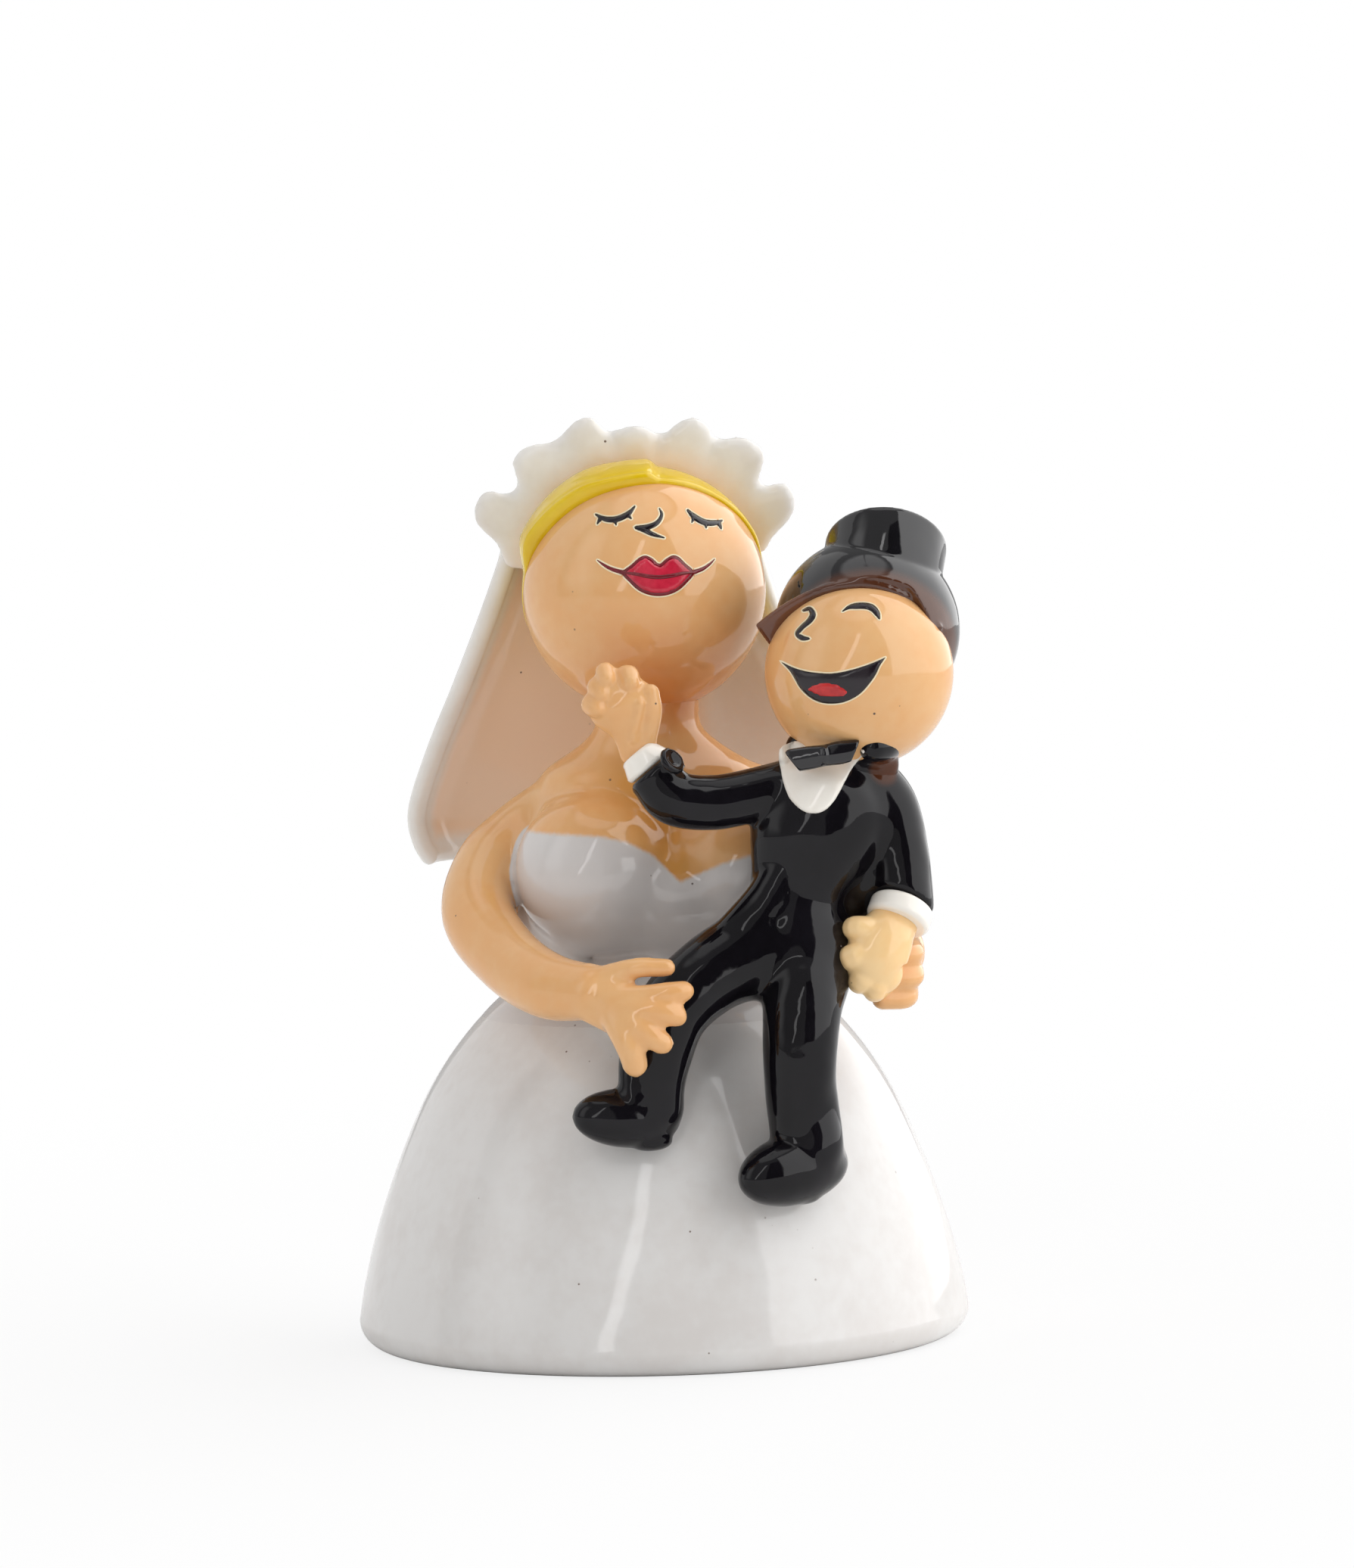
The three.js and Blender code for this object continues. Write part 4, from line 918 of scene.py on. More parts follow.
@dataclass
class PaintedFace:
    """Enamel on a round head, drawn to the side of and above its middle as it is seen from the front."""

    centre: np.ndarray
    radius: float
    relief: float = 0.16
    lift: float = 0.02
    spacing: float = 0.42
    soft_edge: float = 0.5
    rim_width: float = 0.15
    rim_spacing: float = 0.3

    def ways(self, flat: np.ndarray) -> np.ndarray:
        """The ways from the head's middle to places on its front."""
        depth = np.sqrt(np.clip(self.radius**2 - (flat**2).sum(1), 0.01, None))
        return np.stack([flat[:, 0], -depth, flat[:, 1]], axis=1) / self.radius

    def grown(self, outline: np.ndarray, margin: float) -> np.ndarray:
        """An outline moved outwards by a margin.

        Args:
            outline: a closed outline.
            margin: how far it moves; below 0 it moves inwards.

        Returns:
            The moved outline.
        """
        after, before = np.roll(outline, -1, axis=0), np.roll(outline, 1, axis=0)
        ahead = after - before
        ahead /= np.linalg.norm(ahead, axis=1)[:, None] + 1e-9
        area = np.sum(outline[:, 0] * after[:, 1] - after[:, 0] * outline[:, 1])
        return outline + np.stack([ahead[:, 1], -ahead[:, 0]], axis=1) * (margin if area > 0 else -margin)

    def form(self, outline: np.ndarray, lift: float = 0.0, relief: float | None = None) -> Form:
        """Raises the enamel within an outline off the head, with a soft edge.

        Args:
            outline: the closed outline.
            lift: how much higher than the glaze the whole patch lies.
            relief: the thickness at the middle of the patch.

        Returns:
            A closed thin patch that follows the head.
        """
        thick = self.relief if relief is None else relief
        flat, faces, edge = filled(outline, self.spacing, self.spacing * 0.45)
        ways = self.ways(flat)
        height = self.radius + self.lift + lift + thick * round_over(edge, self.soft_edge)
        return slab(ways * height[:, None] + self.centre, ways * (self.radius - 0.3) + self.centre, faces)

    def rims(self, name: str, outlines: Sequence[np.ndarray], glazes: Glazes) -> None:
        """Runs the thin bead of cream slip that keeps each painted feature apart from the skin glaze.

        Args:
            name: the piece's name.
            outlines: closed outlines as seen from the front.
            glazes: the finishes.
        """
        points: list[tuple[float, ...]] = []
        edges: list[tuple[int, int]] = []
        for outline in outlines:
            line = self.grown(outline, self.rim_width * 0.6)
            others = [other for other in outlines if other is not outline]
            hidden = np.max([inside_gap(line, other) for other in others], axis=0) > -0.04
            start, count = len(points), len(line)
            seat = self.ways(line) * (self.radius - self.rim_width * 0.35) + self.centre
            points += [tuple(p) for p in seat * MILLIMETRE]
            pairs = [(i, (i + 1) % count) for i in range(count)]
            edges += [(start + i, start + j) for i, j in pairs if not (hidden[i] or hidden[j])]
        mesh = bpy.data.meshes.new(name)
        mesh.from_pydata(points, edges, [])
        item = new_object(name, mesh)
        sizes = {"Bead radius": self.rim_width * MILLIMETRE, "Point spacing": self.rim_spacing * MILLIMETRE}
        self.bead(glazes.cream).run_on(item, sizes)
        dress(item, glazes.cream, Slot.WHITE)

    def bead(self, finish: bpy.types.Material) -> Tree:
        """Builds the shape tree that runs a round bead along an outline.

        Args:
            finish: the bead's material.

        Returns:
            The tree.
        """
        inputs = {"Outline": "Geometry", "Bead radius": "Float", "Point spacing": "Float"}
        shape = Tree.for_shape("slip bead", inputs, "Rim")
        outline, radius, spacing = (Value(shape, socket) for socket in shape.node("NodeGroupInput").outputs[:3])
        line = shape.add("GeometryNodeMeshToCurve", {"Mesh": outline})
        even = shape.add("GeometryNodeResampleCurve", {"Curve": line, "Length": spacing}, mode="LENGTH")
        section = shape.add("GeometryNodeCurvePrimitiveCircle", {"Resolution": 8, "Radius": radius})
        bead = shape.add("GeometryNodeCurveToMesh", {"Curve": even, "Profile Curve": section})
        shape.end_shape(bead, finish, "Rim")
        return shape


@dataclass
class Skirt:
    """The bell of the gown, hollow and open at the waist, and the bare base plate that closes it."""

    radius: float = 49.8
    top_radius: float = 17.0
    depth_share: float = 0.94
    wall: float = 4.0
    hem_radius: float = 4.2
    foot_width: float = 2.6
    opening_radius: float = 9.0
    base_thickness: float = 3.0
    base_ledge: float = 2.2
    sides: int = 200
    shares: tuple[Flat, ...] = (
        (0.06, 1.0), (0.16, 0.98), (0.32, 0.928), (0.53, 0.832), (0.685, 0.738), (0.8, 0.638), (0.9, 0.52),
        (0.97, 0.405),
    )

    def side_line(self, steps: int = 12) -> np.ndarray:
        """The outer line above the hem, as radius and height pairs."""
        rows = [(wide * self.radius, max(high * SKIRT_HEIGHT, self.hem_radius)) for high, wide in self.shares]
        return smooth_path([*rows, (self.top_radius, SKIRT_HEIGHT)], steps)

    def radius_at(self, height: float) -> float:
        """The outer radius at a height."""
        line = self.side_line()
        return float(np.interp(height, line[:, 1], line[:, 0]))

    def form(self) -> Form:
        """Makes the skirt's surface.

        Returns:
            The closed surface, inside and out.
        """
        hem = arc((self.radius - self.hem_radius, self.hem_radius), self.hem_radius, -90, 0, 12)
        outer = [*hem[:-1], *map(tuple, self.side_line())]
        plate = self.radius - self.hem_radius - self.foot_width
        cavity = plate - self.base_ledge
        roof = SKIRT_HEIGHT - self.wall
        inner = [
            (min(r - self.wall, cavity), h)
            for r, h in outer[::6]
            if self.base_thickness < h < roof and r - self.wall > self.opening_radius
        ]
        lip = [(self.opening_radius, SKIRT_HEIGHT), (self.opening_radius, roof)]
        foot = [(cavity, self.base_thickness), (plate, self.base_thickness), (plate, 0.0)]
        profile = [*outer, *lip, *inner[::-1], *foot]
        turns = np.linspace(0, 2 * math.pi, self.sides, endpoint=False)
        rows = [(r * math.cos(t), r * math.sin(t) * self.depth_share, h) for r, h in profile for t in turns]
        return Form(np.array(rows), looped(len(profile), self.sides))

    def build(self, glazes: Glazes) -> None:
        """Makes the skirt and finishes the base plate.

        Args:
            glazes: the finishes.
        """
        item = cast("gown_skirt", self.form())
        edges = item.modifiers.new("sponged edges", "BEVEL")
        edges.width, edges.segments = 0.5 * MILLIMETRE, 3
        edges.limit_method, edges.angle_limit = "ANGLE", math.radians(50)
        settle(item)
        dress(item, glazes.white, Slot.WHITE, "skirt")
        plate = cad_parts["base_plate"]
        plate.data.materials.clear()
        plate.data.materials.append(glazes.clay)
        log.info("base_plate: bare clay on its casting")


@dataclass
class Bride:
    """The bride: her body and arms in one skin, her head, hair, headpiece and veil."""

    skirt: Skirt
    head_radius: float = 19.7
    neck_radius: float = 8.4
    bust_radius: float = 13.3
    depth_share: float = 0.66
    hair_thickness: float = 1.3
    hair_way: Place = (-0.145, 0.858, 0.493)
    hair_roll: tuple[Flat, ...] = (
        (0.5, -0.5), (0.0, 0.0), (0.1, 0.3), (0.4, 0.65), (0.9, 0.88), (1.7, 1.0), (2.6, 1.03), (3.4, 0.97),
        (4.2, 0.96), (5.0, 1.0),
    )
    fineness: float = 0.475
    veil_thickness: float = 3.0
    veil_half_width: float = 36.9
    veil_depth: float = 15.0
    run_out: tuple[Flat, ...] = ((51.0, -0.25), (54.0, 0.08), (57.0, 0.08), (59.5, 0.08))
    rings: tuple[Flat, ...] = (
        (0.0, 17.0), (0.045, 14.715), (0.085, 13.5), (0.16, 17.64), (0.24, 19.6), (0.3, 18.042), (0.345, 18.042),
        (0.378, 13.95), (0.403, 10.752), (0.43, 8.568), (0.48, 8.4), (0.52, 7.56),
    )
    neck_top: Place = (0.0, -0.045, 0.479)
    bust: tuple[Place, Place] = ((-0.1, -0.134, 0.174), (0.17, -0.112, 0.172))
    belly: Ellipsoid = Ellipsoid((3.2, -9.5, 74.0), (17.5, 12.0, 10.5), 56)
    right_arm: tuple[Place, ...] = (
        (-0.148, 0.011, 0.291), (-0.232, 0.0, 0.241), (-0.295, -0.062, 0.182), (-0.319, -0.155, 0.107),
        (-0.266, -0.284, 0.035), (-0.188, -0.41, -0.007), (-0.108, -0.494, -0.013),
    )
    right_radii: tuple[float, ...] = (6.0, 6.0, 6.0, 6.0, 5.6, 5.3, 4.5)
    left_arm: tuple[Place, ...] = (
        (0.16, 0.011, 0.3), (0.25, 0.0, 0.265), (0.341, -0.023, 0.2), (0.41, -0.08, 0.1), (0.438, -0.16, 0.042),
    )
    left_radii: tuple[float, ...] = (6.0, 6.0, 6.0, 5.6, 4.7)
    crook: Limb = Limb(
        ((-15.5, -9.0, 75.0), (-21.0, -6.0, 72.7), (-20.1, -7.0, 69.3), (-16.8, -9.0, 65.2), (-13.4, -12.0, 63.2)),
        (3.0, 1.6, 2.2, 2.7, 2.4), 8, 24,
    )
    right_palm: Limb = Limb(
        ((-11.0, -43.0, 61.3), (-8.4, -45.0, 60.4), (-5.4, -46.0, 58.6)), (4.5, 4.8, 4.6), 8, 32, depth=0.6
    )
    left_palm: Limb = Limb(((38.7, -13.0, 65.9), (39.5, -19.0, 63.6)), (4.7, 5.0), 8, 32, RIGHT, 0.8)
    right_fingers: tuple[tuple[tuple[Place, ...], float], ...] = (
        (((-7.6, -46.6, 60.4), (-2.3, -48.0, 60.5), (2.1, -48.6, 61.0), (4.6, -48.0, 61.2)), 1.75),
        (((-7.4, -46.9, 59.3), (-2.7, -48.9, 58.7), (1.2, -49.4, 58.0), (3.4, -48.9, 57.4)), 1.8),
        (((-6.8, -46.9, 58.6), (-3.6, -49.1, 56.6), (-0.7, -49.7, 54.5), (1.0, -49.2, 53.3)), 1.9),
        (((-7.0, -46.2, 58.6), (-5.4, -48.4, 55.6), (-3.9, -49.4, 52.3), (-3.3, -48.6, 50.0)), 2.1),
        (((-8.8, -45.0, 63.4), (-2.8, -46.5, 64.9), (2.0, -46.3, 64.8)), 1.55),
    )
    left_fingers: tuple[tuple[Place, ...], ...] = (
        ((40.0, -16.0, 65.7), (41.0, -23.0, 64.8), (40.9, -28.0, 64.0), (36.7, -30.5, 64.2)),
        ((39.9, -16.0, 63.0), (41.0, -23.0, 61.4), (40.8, -28.4, 60.4), (36.5, -30.8, 60.6)),
        ((39.7, -16.0, 60.8), (40.3, -23.0, 58.2), (39.7, -28.0, 57.1), (35.9, -30.2, 57.2)),
    )
    left_finger_radii: tuple[float, ...] = (1.9, 1.85, 1.8, 1.7)
    sponged: tuple[Spot, ...] = (
        ((-17.0, 1.0, 88.0), 15.0), ((19.0, 1.0, 88.0), 15.0), ((0.0, -12.0, 89.0), 15.0), ((-12.0, -6.0, 91.0), 13.0),
        ((3.5, -18.0, 70.0), 15.0), ((-10.0, -12.0, 66.0), 12.0), ((16.0, -10.0, 66.0), 12.0), ((0.0, 2.0, 98.0), 12.0),
    )
    neckline: tuple[Flat, ...] = (
        (-30.0, 84.8), (-22.0, 84.7), (-18.4, 84.6), (-13.0, 84.4), (-7.8, 84.0), (-3.6, 82.9), (0.3, 80.6),
        (2.8, 77.9), (4.6, 76.2), (7.0, 77.2), (11.4, 79.1), (16.5, 80.5), (30.0, 81.4),
    )
    valley: tuple[Flat, ...] = ((-3.5, 93.0), (-0.5, 88.0), (2.5, 82.5), (5.0, 76.0))
    veil_rows: tuple[tuple[float, float, float, float, float], ...] = (
        (0.924, -0.004, 0.03, 0.14, 0.1), (0.905, -0.006, 0.032, 0.255, 0.27), (0.864, -0.012, 0.036, 0.385, 0.57),
        (0.8, -0.02, 0.055, 0.51, 0.78), (0.727, -0.024, 0.08, 0.56, 0.79), (0.62, -0.028, 0.1, 0.65, 0.82),
        (0.5, -0.028, 0.115, 0.77, 0.88), (0.386, -0.028, 0.128, 0.89, 0.94), (0.277, -0.028, 0.136, 0.98, 1.0),
        (0.215, -0.026, 0.14, 0.97, 1.0), (0.175, -0.024, 0.148, 0.92, 0.97),
    )

    @property
    def head(self) -> np.ndarray:
        """The middle of her head."""
        rise = math.sqrt(self.head_radius**2 - self.neck_radius**2)
        return share_place(self.neck_top) + np.array((0.0, 0.0, rise))

    def torso(self) -> Form:
        """Makes neck, chest and bodice, run out onto the top of the skirt.

        Returns:
            The closed surface.
        """
        lowest = SKIRT_HEIGHT + SEAT_GAP
        lean_full = share_place(self.neck_top)
        rows = []
        for high, inset in self.run_out:
            wide = self.skirt.radius_at(high) + inset
            rows.append((0.0, 0.0, high, wide, wide * self.skirt.depth_share))
        for share, half in self.rings:
            high = lowest + share * COUPLE_HEIGHT
            deep_share = max(self.depth_share, min(1.0, self.neck_radius / half)) if share else self.skirt.depth_share
            lean = lean_full[1] * max(0.0, high - lowest) / (lean_full[2] - lowest)
            rows.append((0.0, lean, high, half, half * deep_share))
        fine = smooth_path(rows, 6)
        rings = [oval(r[:3], np.array((r[3], 0, 0)), np.array((0, r[4], 0)), 72) for r in fine]
        return skin(rings, fine[0][:3], fine[-1][:3])

    def body_forms(self) -> list[Form]:
        """Everything of the bride that is one skin: torso, bust, arms and hands.

        Returns:
            The closed surfaces.
        """
        limbs = [
            Limb(share_path(self.right_arm), self.right_radii, 10, 36),
            Limb(share_path(self.left_arm), self.left_radii, 10, 36),
            self.crook, self.right_palm, self.left_palm,
        ]
        limbs += [Limb(places, (r * 1.12, r * 1.06, r)) for places, r in self.right_fingers]
        limbs += [Limb(places, self.left_finger_radii) for places in self.left_fingers]
        bust = [ball(at, self.bust_radius, 56) for at in share_path(self.bust)]
        return [self.torso(), *bust, self.belly.form(), *(one.form() for one in limbs)]

    def gown_share(self, points: np.ndarray) -> np.ndarray:
        """How much of the white gown lies at each point of the body.

        Args:
            points: places in millimetres.

        Returns:
            One share for each place: 0 is skin and 1 is gown.
        """
        back = ramp(points[:, 1], -4.0, 6.0)
        height = np.interp(points[:, 0], *zip(*self.neckline)) * (1 - back) + 82.5 * back
        white = ramp(height - points[:, 2], -1.0, 1.4)
        hands = np.where((points[:, 1] < -36) | (points[:, 0] > 33), -1.0, 1e9)
        for shares, radii in ((self.right_arm, self.right_radii), (self.left_arm, self.left_radii)):
            path = smooth_path(share_path(shares), 10)
            for at, wide in zip(path, value_at(radii, np.linspace(0, 1, len(path)))):
                hands = np.minimum(hands, np.linalg.norm(points - at, axis=1) - wide)
        return white * (1 - ramp(self.torso_gap(points) - hands, 0.2, 1.2))

    def torso_gap(self, points: np.ndarray) -> np.ndarray:
        """How far points lie outside the torso and bust.

        Args:
            points: places in millimetres.

        Returns:
            One distance for each place.
        """
        torso = self.torso()
        tree = BVHTree.FromPolygons([tuple(p) for p in torso.points], torso.faces)
        gap = np.array([tree.find_nearest(Vector(p))[3] or 0.0 for p in points])
        for at in share_path(self.bust):
            gap = np.minimum(gap, np.linalg.norm(points - at, axis=1) - self.bust_radius)
        return gap

    def valley_shade_share(self, points: np.ndarray) -> np.ndarray:
        """How much painted shade lies at each point, a yellow-brown spray: most in the valley between the breasts,
        where shade falls, and a little over the middle of the chest.

        Args:
            points: places in millimetres.

        Returns:
            One share for each place.
        """
        flat = points[:, [0, 2]]
        gap = np.min([np.linalg.norm(flat - spot, axis=1) for spot in smooth_path(self.valley, 6)], axis=0)
        chest = ramp(flat[:, 1], 74.0, 82.0) * (1 - ramp(flat[:, 1], 92.0, 102.0))
        chest = chest * (1 - ramp(abs(flat[:, 0] + 3), 9, 20))
        front = 1 - ramp(points[:, 1], -6.0, 2.0)
        return np.clip(0.06 * chest + 0.72 * np.exp(-((gap / 5.0) ** 2)), 0, 1) * front

    def build_body(self, glazes: Glazes) -> None:
        """Makes her body, arms and hands.

        Args:
            glazes: the finishes.
        """
        item = fused("bride_body", self.body_forms(), self.fineness, 6, self.sponged, 80)
        points = places_of(item)
        # Painted shade, deep orange, on the front of the neck under the chin.
        neck = ramp(points[:, 2], 97.0, 103.0) * (1 - ramp(abs(points[:, 0] - 1.0), 3.0, 9.5))
        weights(item, Mask.GOWN, self.gown_share(points))
        # Painted shade in the valley between the breasts.
        weights(item, Mask.OCHRE, self.valley_shade_share(points))
        weights(item, Mask.FLUSH, neck * 0.95)
        names = ("bride_torso", "bride_right_arm", "bride_left_arm", "bride_right_hand", "bride_left_hand")
        dress(item, glazes.body, Slot.SKIN, *names)

    def build_head(self, glazes: Glazes) -> None:
        """Makes her head, her hair and her painted face.

        Args:
            glazes: the finishes.
        """
        item = cast("bride_face", ball(self.head, self.head_radius, 144))
        x, y, z = (places_of(item) - self.head).T
        # Painted shade, deep orange, on the lower front of the face, darkest towards the chin.
        low = 1.3 * (1 - ramp(z, -17.0, -2.0))
        weights(item, Mask.FLUSH, low * np.exp(-(((x - 1.5) / 9.0) ** 2)) * (1 - ramp(y, 0, 8)))
        dress(item, glazes.skin, Slot.SKIN, "bride_head")
        dress(cast("bride_hair_cap", self.hair()), glazes.hair, Slot.YELLOW, "bride_hair")
        BrideFace(self.head, self.head_radius).build(glazes)

    def hair(self) -> Form:
        """Makes her hair: a cap over the back of the head, rolled down onto the forehead and swept aside.

        Returns:
            The closed surface.
        """
        way = unit(self.hair_way)
        wide = unit(np.cross(UP, way))
        turns = np.linspace(0, 2 * math.pi, 200, endpoint=False)
        out = np.cos(turns)[:, None] * wide + np.sin(turns)[:, None] * np.cross(way, wide)
        wave = 0.5 * np.sin(3 * turns + 0.6) + 0.25 * np.sin(8 * turns)
        full = self.head_radius + self.hair_thickness
        start = math.degrees(math.asin(0.9 / full))
        rings = []
        for ahead, thick in (*self.hair_roll, *((a, 1.0) for a in np.linspace(7, 88, 40))):
            tilt = np.radians(start + ahead + wave * max(0.0, 1 - ahead / 20))[:, None]
            ways = np.cos(tilt) * out + np.sin(tilt) * way
            height, aside = ways[:, 2] * self.head_radius, ways[:, 0] * self.head_radius
            swept = ramp(height, 3.0, 9.0) * (1.25 - 0.85 * ramp(aside, 1.0, 3.0)) + 0.06
            edge = np.where(aside > 0, 1.0, 1.0 + 0.35 * ramp(-aside, 2.0, 10.0))
            rise = self.hair_thickness * thick * swept * edge if thick > 0 else np.full(len(turns), thick * 0.5)
            rings.append(self.head + (self.head_radius + rise)[:, None] * ways)
        return skin(rings, self.head + way * 5.0, self.head + way * full)

    def build_veil(self, glazes: Glazes) -> None:
        """Makes the veil, white outside and tinted inside.

        Args:
            glazes: the finishes.
        """
        heights, middles, edges, widths, depths = zip(*self.veil_rows)

        def surface(u: float, v: float) -> np.ndarray:
            """A place on the middle surface of the veil.

            Args:
                u: the share of the way down.
                v: the share of the way round.

            Returns:
                The place, in millimetres.
            """
            turn = (v - 0.5) * math.pi
            read = lambda column: float(value_at(column, u))
            wide, deep = read(widths) * self.veil_half_width, read(depths) * self.veil_depth
            middle = np.array((read(middles), read(edges), read(heights))) * COUPLE_HEIGHT
            return middle + np.array((wide * math.sin(turn), deep * math.cos(turn), SKIRT_HEIGHT))

        form, edge = sheet(surface, self.veil_thickness, 90, 110)
        item = cast("bride_veil", form)
        count = len(edge)
        front, back = form.points[:count], form.points[count:]
        span = slice(0, count) if front[:, 1].mean() < back[:, 1].mean() else slice(count, None)
        share = np.zeros(2 * count)
        share[span] = ramp(edge, 0.6, 8.5) * (1 - 0.6 * ramp(form.points[span, 0], 4.0, 12.0))
        weights(item, Mask.LINING, share)
        dress(item, glazes.lined, Slot.WHITE, "veil")

    def build(self, glazes: Glazes) -> None:
        """Makes the whole bride above the skirt.

        Args:
            glazes: the finishes.
        """
        self.build_body(glazes)
        self.build_head(glazes)
        Headpiece(self.head, self.head_radius).build(glazes)
        self.build_veil(glazes)


@dataclass
class BrideFace(PaintedFace):
    """Her painted face: closed eyes with lashes, a small nose, and full lips with a smile line each side."""

    lids: tuple[tuple[Flat, ...], ...] = (
        ((-7.34, 12.96), (-5.78, 12.23), (-3.96, 12.2), (-2.13, 12.99), (-1.02, 14.13)),
        ((7.3, 13.27), (8.24, 12.29), (9.91, 11.26), (11.73, 11.05), (12.84, 11.33)),
    )
    lashes: tuple[tuple[Flat, Flat], ...] = (
        ((-6.5, 12.48), (-7.13, 11.5)), ((-4.33, 12.21), (-4.1, 11.3)), ((-2.25, 12.87), (-1.66, 12.2)),
        ((8.36, 12.16), (7.97, 11.3)), ((10.15, 11.25), (10.24, 10.3)), ((12.22, 11.14), (12.67, 10.05)),
    )
    nose: tuple[Stroke, ...] = (
        Stroke(
            ((2.84, 13.67), (3.18, 12.72), (2.54, 11.56), (1.2, 10.9), (-0.26, 10.7), (-0.98, 10.84)),
            (0.25, 0.55, 0.75, 0.9, 0.95, 0.6),
        ),
        Stroke(((-0.98, 10.84), (0.22, 10.45), (1.65, 9.7), (3.56, 9.05)), (0.7, 0.85, 0.7, 0.25)),
    )
    lips: tuple[Flat, ...] = (
        (-3.33, 3.77), (-1.85, 5.05), (-0.38, 6.2), (0.47, 6.41), (1.54, 5.91), (2.6, 5.04), (3.58, 5.72), (4.68, 6.28),
        (5.52, 6.13), (6.7, 5.01), (8.1, 3.39), (6.97, 1.89), (5.61, 0.74), (4.03, 0.08), (2.34, -0.1), (0.66, 0.19),
        (-0.88, 0.95), (-2.17, 2.19),
    )
    seam: Stroke = Stroke(
        ((-3.33, 3.77), (-1.17, 3.48), (0.74, 3.07), (2.54, 2.89), (4.59, 3.06), (6.29, 3.35), (8.1, 3.39)),
        (0.3, 0.5, 0.6, 0.6, 0.6, 0.5, 0.3),
    )
    smiles: tuple[tuple[Flat, ...], ...] = (
        ((-3.0, 3.75), (-5.0, 4.4), (-6.31, 5.13), (-7.26, 5.86)),
        ((7.8, 3.4), (9.44, 3.93), (10.55, 4.59), (11.43, 5.38)),
    )

    def build(self, glazes: Glazes) -> None:
        """Paints every feature, each on its rim of cream slip.

        Args:
            glazes: the finishes.
        """
        strokes = [Stroke(lid, (0.4, 0.85, 0.95, 0.85, 0.32)) for lid in self.lids]
        strokes += [Stroke(lash, (0.8, 0.3), 4) for lash in self.lashes]
        lines = [stroke.outline() for stroke in (*strokes, *self.nose)]
        dress(cast("bride_face_lines", *map(self.form, lines)), glazes.line, Slot.BLACK)
        lips = smooth_path(self.lips, 6, closed=True)
        dress(cast("bride_lips", self.form(self.grown(lips, -0.42), 0.06, 0.3)), glazes.lip, Slot.SKIN)
        smiles = [Stroke(smile, (0.75, 0.62, 0.46, 0.2)).outline() for smile in self.smiles]
        dark = [self.form(lips), self.form(self.seam.outline(), 0.42, 0.08), *(self.form(s, 0.01) for s in smiles)]
        dress(cast("bride_lip_line", *dark), glazes.lip_line, Slot.SKIN)
        self.rims("bride_face_rims", [*lines, lips, *smiles], glazes)


